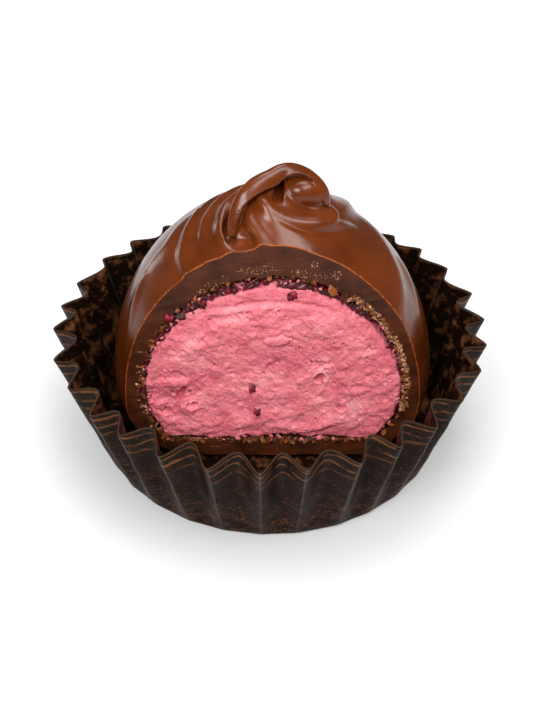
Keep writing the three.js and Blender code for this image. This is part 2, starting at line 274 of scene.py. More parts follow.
@dataclass(frozen=True)
class FieldMesher:
    """Meshes a field on a box grid whose steps may differ along each axis.

    Each grid cell that the surface crosses gets one corner, which is then moved onto the surface.
    """

    axes: tuple[Array, Array, Array]
    settle_steps: int = 2
    block: int = 4
    steepest: float = 1.4
    roughest: float = 0.5
    batch: int = 200000
    nudge: float = 0.05
    longest_move: float = 0.08
    least_slope: float = 0.2

    def sample(self, body: Field) -> Array:
        """The field's values at the grid points, worked out in full only near the surface.

        Args:
            body: the field.

        Returns:
            One value for each grid point.
        """
        counts = np.array([len(axis) for axis in self.axes])
        blocks = [np.arange(count) // self.block for count in counts]
        middles = [
            np.array([axis[block == n].mean() for n in range(block[-1] + 1)])
            for axis, block in zip(self.axes, blocks)
        ]
        widths = [np.diff(axis).max() * self.block for axis in self.axes]
        grid = np.meshgrid(*middles, indexing="ij")
        coarse = body(np.stack(grid, axis=-1).reshape(-1, 3)).reshape(grid[0].shape)
        reach = np.linalg.norm(widths) / 2 * self.steepest + self.roughest
        spread = coarse[np.ix_(*blocks)].astype(np.float32)
        near = np.argwhere(np.abs(spread) < reach)
        for start in range(0, len(near), self.batch):
            part = near[start : start + self.batch]
            places = np.stack([self.axes[n][part[:, n]] for n in range(3)], axis=1)
            spread[tuple(part.T)] = body(places)
        return spread

    def corners(self, values: Array, cells: Array) -> Array:
        """Places one corner in each crossed cell, in the middle of the crossings of its edges.

        Args:
            values: the field at the grid points.
            cells: each crossed cell's number along each axis.

        Returns:
            The corners' places in mm.
        """
        total = np.zeros((len(cells), 3))
        hits = np.zeros(len(cells))
        for axis in range(3):
            others = [other for other in range(3) if other != axis]
            for shifts in itertools.product((0, 1), repeat=2):
                low = cells.copy()
                low[:, others[0]] += shifts[0]
                low[:, others[1]] += shifts[1]
                high = low.copy()
                high[:, axis] += 1
                here = values[tuple(low.T)]
                there = values[tuple(high.T)]
                crossed = (here < 0) != (there < 0)
                share = np.where(crossed, here / np.where(crossed, here - there, 1), 0)
                from_place = np.stack([self.axes[n][low[:, n]] for n in range(3)], axis=1)
                to_place = np.stack([self.axes[n][high[:, n]] for n in range(3)], axis=1)
                places = from_place + share[:, None] * (to_place - from_place)
                total[crossed] += places[crossed]
                hits += crossed
        return total / hits[:, None]

    def quads(self, values: Array, number: Array) -> Array:
        """Four corners round each grid edge that the surface crosses, facing outwards.

        Args:
            values: the field at the grid points.
            number: each cell's corner number.

        Returns:
            Rows of four corner numbers.
        """
        inside = values < 0
        found = []
        for axis in range(3):
            second, third = (axis + 1) % 3, (axis + 2) % 3
            start = [slice(None)] * 3
            end = [slice(None)] * 3
            start[axis], end[axis] = slice(None, -1), slice(1, None)
            for other in (second, third):
                start[other] = end[other] = slice(1, -1)
            here = inside[tuple(start)]
            crossed = np.argwhere(here != inside[tuple(end)])
            leaving = here[tuple(crossed.T)]
            base = crossed.copy()
            base[:, second] += 1
            base[:, third] += 1
            ring = []
            for shift_second, shift_third in ((-1, -1), (0, -1), (0, 0), (-1, 0)):
                at = base.copy()
                at[:, second] += shift_second
                at[:, third] += shift_third
                ring.append(number[tuple(at.T)])
            quad = np.stack(ring, axis=1)
            found.append(np.where(leaving[:, None], quad, quad[:, ::-1]))
        return np.concatenate(found)

    def slope(self, body: Field, places: Array) -> Array:
        """The field's slope.

        Args:
            body: the field.
            places: points in mm.

        Returns:
            How fast the field grows along X, Y and Z at each point.
        """
        found = np.empty_like(places)
        for axis in range(3):
            step = np.zeros(3)
            step[axis] = self.nudge
            found[:, axis] = (body(places + step) - body(places - step)) / (2 * self.nudge)
        return found

    def settle(self, body: Field, places: Array) -> Array:
        """Moves points onto the field's zero surface, a short way at a time.

        Args:
            body: the field.
            places: points in mm, near its surface.

        Returns:
            The moved points.
        """
        for _ in range(self.settle_steps):
            slope = self.slope(body, places)
            size = np.maximum((slope * slope).sum(axis=1), self.least_slope)
            move = np.clip(body(places) / size, -self.longest_move, self.longest_move)
            places = places - slope * move[:, None]
        return places

    def mesh(self, body: Field) -> tuple[Array, Array, Array]:
        """Meshes a field.

        Args:
            body: the field, negative inside.

        Returns:
            Corner places in mm, rows of four corner numbers, and outward normals at the corners.
        """
        values = self.sample(body)
        inside = values < 0
        count = np.zeros([size - 1 for size in values.shape], dtype=np.uint8)
        for shift in itertools.product((0, 1), repeat=3):
            part = tuple(slice(s, s + size) for s, size in zip(shift, count.shape))
            count += inside[part]
        crossed = (count > 0) & (count < 8)
        number = np.full(count.shape, -1, dtype=np.int64)
        number[crossed] = np.arange(int(crossed.sum()))
        places = self.settle(body, self.corners(values, np.argwhere(crossed)))
        normals = self.slope(body, places)
        normals /= np.maximum(np.linalg.norm(normals, axis=1), 1e-6)[:, None]
        return places, self.quads(values, number), normals


def spaced(stretches: list[tuple[float, float, float]]) -> Array:
    """Grid lines along one axis.

    Args:
        stretches: rows of where a stretch starts, where it ends and its step, in mm.

    Returns:
        The places of the grid lines, in order.
    """
    lines = [
        np.linspace(low, high, max(2, round((high - low) / step)), endpoint=False)
        for low, high, step in stretches
    ]
    return np.append(np.concatenate(lines), stretches[-1][1])


def make_piece(
    name: str,
    places: Array,
    faces: Array | list[list[int]],
    materials: list[bpy.types.Material],
    material_numbers: Array | None = None,
    measures: dict[str, Array] | None = None,
    normals: Array | None = None,
    smooth: bool = True,
) -> bpy.types.Object:
    """Makes a mesh object that rides on the body.

    Args:
        name: the piece's name.
        places: corner places in mm.
        faces: corner numbers of each face.
        materials: the finishes, in slot order.
        material_numbers: the slot of each face, or None for the first slot.
        measures: named values for each corner that a finish reads.
        normals: outward normals at the corners, or None to take them from the faces.
        smooth: whether the faces are shaded smoothly into each other.

    Returns:
        The new object.
    """
    mesh = bpy.data.meshes.new(name)
    rows = faces.tolist() if isinstance(faces, np.ndarray) else faces
    mesh.from_pydata((places * MM).tolist(), [], rows)
    mesh.polygons.foreach_set("use_smooth", [smooth] * len(rows))
    for material in materials:
        mesh.materials.append(material)
    if material_numbers is not None:
        mesh.polygons.foreach_set("material_index", material_numbers.astype(np.int32))
    for key, values in (measures or {}).items():
        layer = mesh.attributes.new(key, "FLOAT", "POINT")
        layer.data.foreach_set("value", values.astype(np.float32))
    mesh.update()
    if normals is not None:
        mesh.normals_split_custom_set_from_vertices(normals.tolist())
    piece = bpy.data.objects.new(name, mesh)
    bpy.context.scene.collection.objects.link(piece)
    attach(piece, "root")
    return piece


# ------------------------------------------------------------------------------ finishes


class Paint:
    """Builds one node material. Its methods return the socket that carries their result."""

    def __init__(self, name: str) -> None:
        """Starts a material with a principled shader, an output and the place in mm.

        Args:
            name: the material's name.
        """
        self.material = bpy.data.materials.new(name)
        self.material.use_nodes = True
        self.tree = self.material.node_tree
        self.tree.nodes.clear()
        self.shader = self.add("ShaderNodeBsdfPrincipled")
        output = self.add("ShaderNodeOutputMaterial")
        self.tree.links.new(self.shader.outputs[0], output.inputs["Surface"])
        coords = self.add("ShaderNodeTexCoord").outputs["Object"]
        scaled = self.add("ShaderNodeVectorMath", {0: coords, "Scale": 1 / MM}, operation="SCALE")
        self.place = scaled.outputs[0]

    def feed(self, socket: Socket, value: object) -> None:
        """Feeds an input.

        Args:
            socket: the input.
            value: the socket that it is linked to, or its plain value.
        """
        if isinstance(value, Socket):
            self.tree.links.new(value, socket)
        else:
            socket.default_value = value

    def add(self, kind: str, links: dict | None = None, **settings: object) -> bpy.types.Node:
        """Adds a node.

        Args:
            kind: the node's type.
            links: input name or number to the socket or plain value that feeds it.
            settings: the node's own settings by name.

        Returns:
            The new node.
        """
        node = self.tree.nodes.new(kind)
        for key, value in settings.items():
            setattr(node, key, value)
        for key, value in (links or {}).items():
            self.feed(node.inputs[key], value)
        return node

    def shade(self, **links: object) -> None:
        """Feeds the shader's own sockets: underscores in a name stand for spaces."""
        for key, value in links.items():
            self.feed(self.shader.inputs[key.replace("_", " ")], value)

    def measure(self, name: str) -> Socket:
        """A measure that the mesh holds at its corners."""
        return self.add("ShaderNodeAttribute", attribute_name=name).outputs["Fac"]

    def noise(self, size_mm: float, detail: int, at: Socket | None = None, **more: float) -> Socket:
        """Fractal noise.

        Args:
            size_mm: width of its coarsest bumps.
            detail: number of finer layers.
            at: the vector that it is read at, or None for the place.
            more: the node's other inputs.

        Returns:
            The noise, 0 to 1.
        """
        vector = self.place if at is None else at
        links = {"Vector": vector, "Scale": 1 / size_mm, "Detail": detail, **more}
        return self.add("ShaderNodeTexNoise", links).outputs[0]

    def spots(self, size_mm: float) -> Socket:
        """How far off the nearest of some scattered points is, in steps of size_mm."""
        links = {"Vector": self.place, "Scale": 1 / size_mm}
        return self.add("ShaderNodeTexVoronoi", links).outputs["Distance"]

    def stretched(self, vector: Socket, scale: Place, turn_deg: float = 0.0) -> Socket:
        """A vector turned about Y and scaled along each axis."""
        links = {"Vector": vector, "Rotation": (0, math.radians(turn_deg), 0), "Scale": scale}
        return self.add("ShaderNodeMapping", links).outputs[0]

    def maths(self, operation: str, *values: Socket | float) -> Socket:
        """One step of arithmetic."""
        return self.add("ShaderNodeMath", dict(enumerate(values)), operation=operation).outputs[0]

    def remap(self, value: Socket, low: float, high: float, first: float, last: float) -> Socket:
        """Turns the range low to high into first to last and keeps within it."""
        links = {"From Min": low, "From Max": high, "To Min": first, "To Max": last}
        return self.add("ShaderNodeMapRange", {"Value": value, **links}).outputs[0]

    def stops(self, value: Socket, *rows: tuple[float, str | float]) -> Socket:
        """Turns a value into a colour by stops along it.

        Args:
            value: the value, 0 to 1.
            rows: each stop's position and its sRGB hex colour, or a grey level.

        Returns:
            The colour.
        """
        node = self.add("ShaderNodeValToRGB", {0: value})
        elements = node.color_ramp.elements
        while len(elements) < len(rows):
            elements.new(0.5)
        for element, (position, shade) in zip(elements, rows):
            element.position = position
            element.color = linear(shade) if isinstance(shade, str) else (shade, shade, shade, 1)
        return node.outputs[0]

    def mix(self, share: Socket, *colours: Socket | str) -> Socket:
        """Mixes two colours.

        Args:
            share: how much of the second colour there is.
            colours: the first and the second one, each a socket or an sRGB hex colour.

        Returns:
            The mixed colour.
        """
        first, second = (linear(shade) if isinstance(shade, str) else shade for shade in colours)
        links = {0: share, 6: first, 7: second}
        return self.add("ShaderNodeMix", links, data_type="RGBA").outputs[2]

    def relief(
        self, height: Socket, strength: float, deep_mm: float, under: Socket | None = None
    ) -> Socket:
        """Fine relief for the shader's normal.

        Args:
            height: the relief's heights, 0 to 1.
            strength: how strongly it shows.
            deep_mm: its full depth.
            under: the normal of coarser relief that it lies on.

        Returns:
            The normal.
        """
        links = {"Height": height, "Strength": strength, "Distance": deep_mm * MM}
        if under is not None:
            links["Normal"] = under
        return self.add("ShaderNodeBump", links).outputs[0]


# Light goes a little way into set chocolate and comes out redder.
CHOCOLATE_DEPTH = {
    "Subsurface_Weight": 0.06,
    "Subsurface_Radius": (1.0, 0.35, 0.12),
    "Subsurface_Scale": 0.6 * MM,
}


@dataclass(frozen=True)
class EnrobedMilkChocolate:
    """Tempered milk chocolate, poured on warm and set: a soft satin gloss over faint waves."""

    colour: str = "642C0D"
    deep_colour: str = "4A1F08"
    roughness: float = 0.22
    ior: float = 1.46
    shine: float = 0.36
    cloud_mm: float = 5.0
    ripple_mm: float = 1.4
    grain_mm: float = 0.35

    def material(self) -> bpy.types.Material:
        """Builds the material.

        Returns:
            The material.
        """
        paint = Paint("enrobed_milk_chocolate")
        cloud = paint.noise(self.cloud_mm, 3)
        # The ripple is the slight sag of poured chocolate, the grain its fine satin.
        ripple = paint.relief(paint.noise(self.ripple_mm, 2), 0.25, 0.1)
        paint.shade(
            Base_Color=paint.stops(cloud, (0.3, self.deep_colour), (0.7, self.colour)),
            Roughness=paint.remap(cloud, 0, 1, self.roughness - 0.04, self.roughness + 0.07),
            IOR=self.ior,
            Specular_IOR_Level=self.shine,
            Normal=paint.relief(paint.noise(self.grain_mm, 2), 0.12, 0.03, ripple),
            **CHOCOLATE_DEPTH,
        )
        return paint.material


@dataclass(frozen=True)
class SlicedMilkChocolate:
    """Milk chocolate where a knife went through: duller, scratched, chalky where it crumbled, with
    a painted glow along the cut edge.
    """

    colour: str = "4A210C"
    dark_colour: str = "341608"
    # Colour of the painted glow along the cut edge of the poured coat.
    rim_colour: str = "94481A"
    chalk_colour: str = "B07C52"
    roughness: float = 0.5
    ior: float = 1.45
    shine: float = 0.3
    cloud_mm: float = 2.0
    scratch_mm: float = 0.45
    scratch_deg: float = -14.0
    chalk_mm: float = 0.7 / 0.6
    chalk_reach_mm: float = 1.6
    glow_rim_mm: tuple[float, float] = (0.03, 0.105)

    def material(self) -> bpy.types.Material:
        """Builds the material, from the depths below the outside and from the hollow.

        Returns:
            The material.
        """
        paint = Paint("sliced_milk_chocolate")
        base = paint.stops(
            paint.noise(self.cloud_mm, 4), (0.35, self.dark_colour), (0.62, self.colour)
        )
        # The knife drags long scratches: noise drawn out along one slanting direction.
        drawn = paint.stretched(paint.place, (0.22, 1, 2.6), self.scratch_deg)
        scored = paint.relief(paint.noise(self.scratch_mm, 3, drawn), 0.3, 0.06)
        # Chalky crumbs gather towards the hollow.
        near = paint.remap(paint.measure("inner_depth"), 0, self.chalk_reach_mm, 0.12, 0)
        chalk = paint.maths("ADD", paint.noise(self.chalk_mm, 6, drawn, Roughness=0.7), near)
        chalky = paint.stops(chalk, (0.71, 0.0), (0.79, 1.0))
        # The poured coat is thin: a bright line painted along the cut edge stands in for light
        # glowing through it.
        rim = paint.remap(paint.measure("outer_depth"), *self.glow_rim_mm, 1, 0)
        crumbled = paint.mix(chalky, base, self.chalk_colour)
        paint.shade(
            Base_Color=paint.mix(rim, crumbled, self.rim_colour),
            Roughness=self.roughness,
            IOR=self.ior,
            Specular_IOR_Level=self.shine,
            Normal=paint.relief(chalky, 0.6, 0.15, scored),
            **CHOCOLATE_DEPTH,
        )
        return paint.material


@dataclass(frozen=True)
class CrumbledChocolate:
    """Chocolate broken off by the knife: each crumb its own shade, dull and finely grained."""

    name: str
    light_colour: str
    dark_colour: str
    roughness: float
    ior: float = 1.45
    grain_mm: float = 0.12

    def material(self) -> bpy.types.Material:
        """Builds the material, from each crumb's own shade.

        Returns:
            The material.
        """
        paint = Paint(self.name)
        grain = paint.noise(self.grain_mm, 3)
        shade = paint.maths("MULTIPLY", paint.measure("crumb_shade"), grain)
        paint.shade(
            Base_Color=paint.stops(shade, (0.05, self.dark_colour), (0.45, self.light_colour)),
            Roughness=self.roughness,
            IOR=self.ior,
            Normal=paint.relief(grain, 0.4, 0.05),
        )
        return paint.material


@dataclass(frozen=True)
class WhippedBerryCream:
    """Fondant cream whipped with raspberry: moist, soft pink, with seeds and tiny wet glints."""

    colour: str = "E67F88"
    pale_colour: str = "F0999E"
    deep_colour: str = "D06572"
    speck_colour: str = "8E2638"
    ior: float = 1.42
    mottle_mm: float = 2.4
    speck_mm: float = 0.55
    lump_mm: float = 0.5
    grain_mm: float = 0.16
    hole_mm: float = 0.42

    def material(self) -> bpy.types.Material:
        """Builds the material, from the way in from the seam and the depth of the pits.

        Returns:
            The material.
        """
        paint = Paint("whipped_berry_cream")
        mottle = paint.noise(self.mottle_mm, 5, Roughness=0.6)
        base = paint.stops(
            mottle, (0.3, self.deep_colour), (0.52, self.colour), (0.75, self.pale_colour)
        )
        # Deeper colour painted next to the fruit seam: partly juice from it, partly painted shade
        # under the chocolate's edge.
        juice_and_shade = paint.stops(paint.measure("from_seam"), (0.0, 0.6), (1.0, 0.0))
        tinted = paint.mix(juice_and_shade, base, self.deep_colour)
        # Torn hollows are painted a deeper colour: painted shade in the recesses.
        pit_shaded = paint.mix(paint.measure("pit_depth"), tinted, self.deep_colour)
        seeds = paint.stops(paint.spots(self.speck_mm), (0.07, 0.7), (0.13, 0.0))
        seedy = paint.mix(paint.maths("MULTIPLY", seeds, mottle), pit_shaded, self.speck_colour)
        # Whipping leaves soft lumps, a fine tooth and the open ends of tiny bubbles.
        grain = paint.noise(self.grain_mm, 3)
        lumps = paint.relief(paint.noise(self.lump_mm, 4, Roughness=0.6), 0.8, 0.22)
        tooth = paint.relief(grain, 0.7, 0.1, lumps)
        holes = paint.stops(paint.spots(self.hole_mm), (0.12, 0.0), (0.2, 1.0))
        paint.shade(
            Base_Color=seedy,
            Roughness=paint.stops(grain, (0.46, 0.46), (0.62, 0.14)),
            IOR=self.ior,
            Normal=paint.relief(holes, 0.8, 0.12, tooth),
            Subsurface_Weight=0.35,
            Subsurface_Radius=(1.0, 0.35, 0.3),
            Subsurface_Scale=1.2 * MM,
        )
        return paint.material


@dataclass(frozen=True)
class CookedBerry:
    """Cooked berry conserve with chocolate crumb in it: dark crimson, wet and lumpy."""

    name: str = "cooked_berry_seam"
    colour: str = "5A0C18"
    crumb_colour: str = "2E0F08"
    roughness: float = 0.24
    dry_roughness: float = 0.55
    ior: float = 1.44
    patch_mm: float = 0.6

    def material(self) -> bpy.types.Material:
        """Builds the material.

        Returns:
            The material.
        """
        paint = Paint(self.name)
        patch = paint.noise(self.patch_mm, 5)
        paint.shade(
            Base_Color=paint.stops(patch, (0.44, self.crumb_colour), (0.54, self.colour)),
            Roughness=paint.stops(patch, (0.44, self.dry_roughness), (0.56, self.roughness)),
            IOR=self.ior,
            Normal=paint.relief(patch, 0.5, 0.2),
            Subsurface_Weight=0.2,
            Subsurface_Radius=(1.0, 0.15, 0.12),
            Subsurface_Scale=0.5 * MM,
        )
        return paint.material


@dataclass(frozen=True)
class PrintedGlassine:
    """Dark glassine, pressed into flutes: a grey satin sheen, with pale highlights painted along
    the outer creases, over print in worn copper ink.
    """

    colour: str = "18100C"
    inside_colour: str = "120905"
    ink_colour: str = "7E4E30"
    rim_colour: str = "34251B"
    # Colour of the highlights painted along the outer creases.
    crease_highlight_colour: str = "6E635B"
    roughness: float = 0.3
    ior: float = 1.5
    shine: float = 0.035
    rim_level: float = 12.62
    band_waves: float = 5.4
    band_warp: float = 1.6

    def material(self) -> bpy.types.Material:
        """Builds the material, from the way up the wall and round the case in mm.

        Returns:
            The material.
        """
        paint = Paint("printed_glassine")
        up, inside = paint.measure("up_wall"), paint.measure("inner_face")
        wall = paint.add("ShaderNodeCombineXYZ", {0: paint.measure("round_case"), 1: up}).outputs[0]
        warp = paint.noise(2.0, 3, wall)
        worn = paint.stops(paint.noise(1 / 1.1, 5, wall), (0.38, 0.0), (0.52, 1.0))
        # Worn copper lines: thin level lines of a noise drawn out round the case.
        drawn = paint.stretched(wall, (0.5, 1.3, 1))
        veins = paint.noise(1 / 1.7, 3, drawn, Distortion=1.4)
        lines = paint.stops(veins, (0.478, 0.0), (0.5, 1.0), (0.522, 0.0))
        vein_ink = paint.maths("MULTIPLY", lines, paint.remap(up, 2, 7, 1, 0.3))
        # Level copper bands just under the rim.
        wavy = paint.maths("MULTIPLY_ADD", warp, self.band_warp, up)
        wave = paint.maths("SINE", paint.maths("MULTIPLY", wavy, self.band_waves))
        bands = paint.stops(wave, (0.62, 0.0), (0.95, 1.0))
        band_ink = paint.maths("MULTIPLY", bands, paint.remap(up, 8.9, 10.6, 0, 0.6))
        printed = (paint.maths("MULTIPLY", ink, worn) for ink in (vein_ink, band_ink))
        outside_ink = paint.maths("MAXIMUM", *printed)
        # The inner face shows the copper as broad cloudy patches.
        patchy = paint.stops(paint.noise(1 / 0.75, 6, Roughness=0.62), (0.5, 0.0), (0.7, 0.6))
        ink = paint.add("ShaderNodeMix", {0: inside, 2: outside_ink, 3: patchy}).outputs[0]
        paper = paint.mix(inside, self.colour, self.inside_colour)
        inked = paint.mix(ink, paper, self.ink_colour)
        edge = paint.remap(up, self.rim_level, self.rim_level + 0.1, 0, 1)
        edged = paint.mix(edge, inked, self.rim_colour)
        # A pale line painted along each outer crease stands in for the highlight on its sharp edge.
        crease_highlight = paint.stops(paint.measure("crease"), (0.965, 0.0), (1.0, 0.6))
        fibre = paint.noise(1 / 2.6, 5, Roughness=0.6)
        paint.shade(
            Base_Color=paint.mix(paint.maths("MULTIPLY", crease_highlight, warp), edged, self.crease_highlight_colour),
            Roughness=paint.remap(fibre, 0, 1, self.roughness - 0.1, self.roughness + 0.2),
            IOR=self.ior,
            Specular_IOR_Level=self.shine,
            Normal=paint.relief(fibre, 0.4, 0.12),
        )
        return paint.material


@dataclass(frozen=True)
class StudioPaper:
    """White background paper: matt, lit from above, with painted light: its emission is weakest
    round the sweet, a painted shadow, and grows further out.
    """

    colour: str = "A2A2A2"
    near_glow: float = 0.29
    far_glow: float = 0.75
    near_mm: float = 17.5
    far_mm: float = 34.0
    shade_mm: tuple[float, float] = (1.5, -0.5)
    mottle_mm: float = 20.0

    def material(self) -> bpy.types.Material:
        """Builds the material.

        Returns:
            The material.
        """
        paint = Paint("studio_paper")
        links = {0: paint.place, 1: (*self.shade_mm, 0)}
        away = paint.add("ShaderNodeVectorMath", links, operation="DISTANCE").outputs["Value"]
        # Painted light: the emission grows with distance from a point beside the sweet, leaving a
        # painted shadow round it.
        glow = paint.remap(away, self.near_mm, self.far_mm, self.near_glow, self.far_glow)
        paint.shade(
            Base_Color=linear(self.colour),
            Roughness=paint.remap(paint.noise(self.mottle_mm, 2), 0, 1, 0.85, 0.95),
            Emission_Color=linear("FFFFFF"),
            Emission_Strength=glow,
        )
        return paint.material


# ------------------------------------------------------------------------------ paper case


class PaperFace(Enum):
    """The two faces of the case's paper: which way each looks from the paper's middle."""

    OUTER = 1
    INNER = -1


@dataclass(frozen=True)
class Sway:
    """A slow unevenness round the case: its size, how often it comes round, and its start."""

    size: float
    times: int
    start: float

    def at(self, turn: Array) -> Array:
        """The unevenness at azimuths in radians."""
        return self.size * np.sin(self.times * turn + self.start)


@dataclass(frozen=True)
class PaperCase:
    """The fluted cup. Ridges are the flutes' outer crests, folds the inner ones."""

    flutes: int = 30
    first_ridge_deg: float = 183.1
    base_radius: float = 17.35
    base_bend: float = 0.5
    ridge_radius: float = 21.55
    ridge_height: float = 12.2
    fold_radius: float = 19.5
    fold_height: float = 12.8
    paper: float = 0.14
    crease: float = 1.45
    steps_per_flute: int = 24
    wall_steps: int = 36
    crumple: float = 0.09
    drifts: tuple[Sway, ...] = (Sway(0.28, 8, 0.7), Sway(0.2, 14, 2.0))
    lean: Sway = Sway(0.25, 6, 1.0)
    uneven: tuple[Sway, Sway] = (Sway(0.22, 10, 0.0), Sway(1.0, 4, 0.5))
    rim_wave: Sway = Sway(0.1, 12, 1.3)
    rim_drop: float = 0.06
    flare: float = 0.8
    base_shares: tuple[float, ...] = (0.3, 0.6, 0.85, 0.98)
    shake: Grain = Grain(2.4, 3, 11)
    shake_shift: float = 40.0

    def wave(self, turn: Array, along: Array) -> Array:
        """The flutes: pressed glassine creases along its ridges and rounds into its folds.

        Args:
            turn: azimuths in radians.
            along: way up the wall.

        Returns:
            1 on a ridge, -1 in a fold.
        """
        phase = self.flutes * (turn - math.radians(self.first_ridge_deg))
        drift = sum(sway.at(turn) for sway in self.drifts)
        lean = along * self.lean.at(turn)
        return 1 - 2 * np.abs(np.sin((phase + drift + lean) / 2)) ** self.crease

    def middle(self, turn: Array, along: Array) -> Array:
        """The paper's middle.

        Args:
            turn: azimuths in radians.
            along: way up the wall, 0 at the base's edge and 1 at the rim.

        Returns:
            Points in mm, one row for each azimuth.
        """
        wave = self.wave(turn, along)
        middle_radius = (self.ridge_radius + self.fold_radius) / 2
        half = (self.ridge_radius - self.fold_radius) / 2
        half = half * (1 + self.uneven[0].at(turn) * self.uneven[1].at(turn))
        dip = (self.fold_height - self.ridge_height) / 2
        rim = self.fold_height - dip * (1 + wave) + self.rim_wave.at(turn) - self.rim_drop
        in_bend = np.maximum(0, 1 - along * self.fold_height / self.base_bend)
        radius = self.base_radius + (middle_radius - self.base_radius) * along
        radius = radius - (self.base_bend / 2) * in_bend**2 + half * wave * along**self.flare
        height = self.paper / 2 + along * (rim - self.paper / 2)
        places = np.stack([radius * np.cos(turn), radius * np.sin(turn), height], axis=1)
        shake = self.shake.at(places + self.shake_shift) * self.crumple * ramp(along, 0.02, 0.4)
        places[:, :2] *= (1 + shake / radius)[:, None]
        return places

    def face_places(self, turn: Array, along: Array, face: PaperFace) -> Array:
        """One face of the paper, half its thickness from the middle.

        Args:
            turn: azimuths in radians.
            along: way up the wall.
            face: the face wanted.

        Returns:
            Points in mm.
        """
        nudge = 1e-4
        around = self.middle(turn + nudge, along) - self.middle(turn - nudge, along)
        rising = self.middle(turn, along + nudge) - self.middle(turn, along - nudge)
        normal = np.cross(around, rising)
        normal /= np.linalg.norm(normal, axis=1)[:, None]
        return self.middle(turn, along) + normal * (face.value * self.paper / 2)

    def base_places(self, radius: float, turn: Array, face: PaperFace) -> Array:
        """One ring of the flat base, on one face of the paper."""
        height = np.full(len(turn), 0.0 if face is PaperFace.OUTER else self.paper)
        return np.stack([radius * np.cos(turn), radius * np.sin(turn), height], 1)

    def build(self, finish: bpy.types.Material) -> bpy.types.Object:
        """Builds the case as one closed sheet: out over the base, up, over the rim and back.

        Args:
            finish: the printed paper.

        Returns:
            The case.
        """
        columns = self.flutes * self.steps_per_flute
        turn = np.linspace(0, 2 * np.pi, columns, endpoint=False)
        turn = math.radians(self.first_ridge_deg) + turn
        flat = self.base_radius - self.base_bend
        way = [(True, flat * share) for share in self.base_shares]
        way += [(False, along) for along in np.linspace(0.002, 1, self.wall_steps) ** 1.15]
        rings, ups, inner, creases = [], [], [], []
        for face, stretch in ((PaperFace.OUTER, way), (PaperFace.INNER, way[::-1])):
            for on_base, step in stretch:
                full = np.full(columns, step)
                if on_base:
                    rings.append(self.base_places(step, turn, face))
                    ups.append(full - self.base_radius)
                    creases.append(np.zeros(columns))
                else:
                    rings.append(self.face_places(turn, full, face))
                    ups.append(full * self.fold_height)
                    creases.append((1 + self.wave(turn, full)) / 2)
                inner.append(np.full(columns, float(face is PaperFace.INNER)))
        places = np.concatenate([[[0, 0, 0]], *rings, [[0, 0, self.paper]]])
        places[:, 2] = np.maximum(places[:, 2], 0)
        count = len(rings)
        start = 1 + np.arange(count - 1)[:, None] * columns
        column = np.arange(columns)[None, :]
        after = (column + 1) % columns
        quads = np.stack(
            [start + column, start + after, start + columns + after, start + columns + column], -1
        ).reshape(-1, 4)
        top = 1 + (count - 1) * columns
        middle_fans = [[0, 1 + (n + 1) % columns, 1 + n] for n in range(columns)]
        middle_fans += [[top + n, top + (n + 1) % columns, len(places) - 1] for n in range(columns)]
        measures = {
            "up_wall": np.concatenate([[0], *ups, [0]]),
            "inner_face": np.concatenate([[0], *inner, [1]]),
            "crease": np.concatenate([[0], *creases, [0]]),
            "round_case": np.concatenate([[0], np.tile(turn * self.base_radius, count), [0]]),
        }
        piece = make_piece(
            "fluted_case", places, quads.tolist() + middle_fans, [finish], measures=measures
        )
        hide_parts("paper_case")
        return piece


# ------------------------------------------------------------------------------ chocolate


@dataclass(frozen=True)
class Rope:
    """One rope of the finger-drawn swirl, running outwards over the dome.

    The route is (azimuth, polar) pairs in degrees: azimuths turn anticlockwise from +X, polar
    angles are measured down from the top. left and right are the widths of its flanks in mm.
    """

    route: tuple[tuple[float, float], ...]
    rise: float
    left: float
    right: float


@dataclass(frozen=True)
class Blob:
    """A rounded lump: an ellipsoid in mm."""

    centre: Place
    radii: Place
    blend: float = 0.5

    def values(self, places: Array) -> Array:
        """The lump's field.

        Args:
            places: points in mm.

        Returns:
            Values, negative inside.
        """
        x, y, z = (places - np.array(self.centre)).T
        scaled = np.stack([x, y, z], 1) / np.array(self.radii)
        size = np.linalg.norm(scaled, axis=1)
        stretch = np.linalg.norm(scaled / np.array(self.radii), axis=1)
        return size * (size - 1) / np.maximum(stretch, 1e-6)


@dataclass(frozen=True)
class Roll:
    """A soft roll of chocolate along a route: a tube that thins towards both ends."""

    route: Points
    radius: float
    blend: float = 0.5
    end_share: float = 0.4
    fullness: float = 0.5
    steps: int = 40

    def values(self, places: Array) -> Array:
        """The roll's field.

        Args:
            places: points in mm.

        Returns:
            Values, negative inside.
        """
        middle = smooth_route(self.route, self.steps)
        full = np.sin(np.pi * np.linspace(0, 1, self.steps)) ** self.fullness
        radii = self.radius * (self.end_share + (1 - self.end_share) * full)
        best = np.full(len(places), np.inf)
        for n in range(self.steps - 1):
            line = middle[n + 1] - middle[n]
            part = np.clip((places - middle[n]) @ line / (line @ line), 0, 1)
            gap = places - middle[n] - part[:, None] * line
            radius = radii[n] + (radii[n + 1] - radii[n]) * part
            best = np.minimum(best, np.sqrt(np.einsum("ij,ij->i", gap, gap)) - radius)
        return best


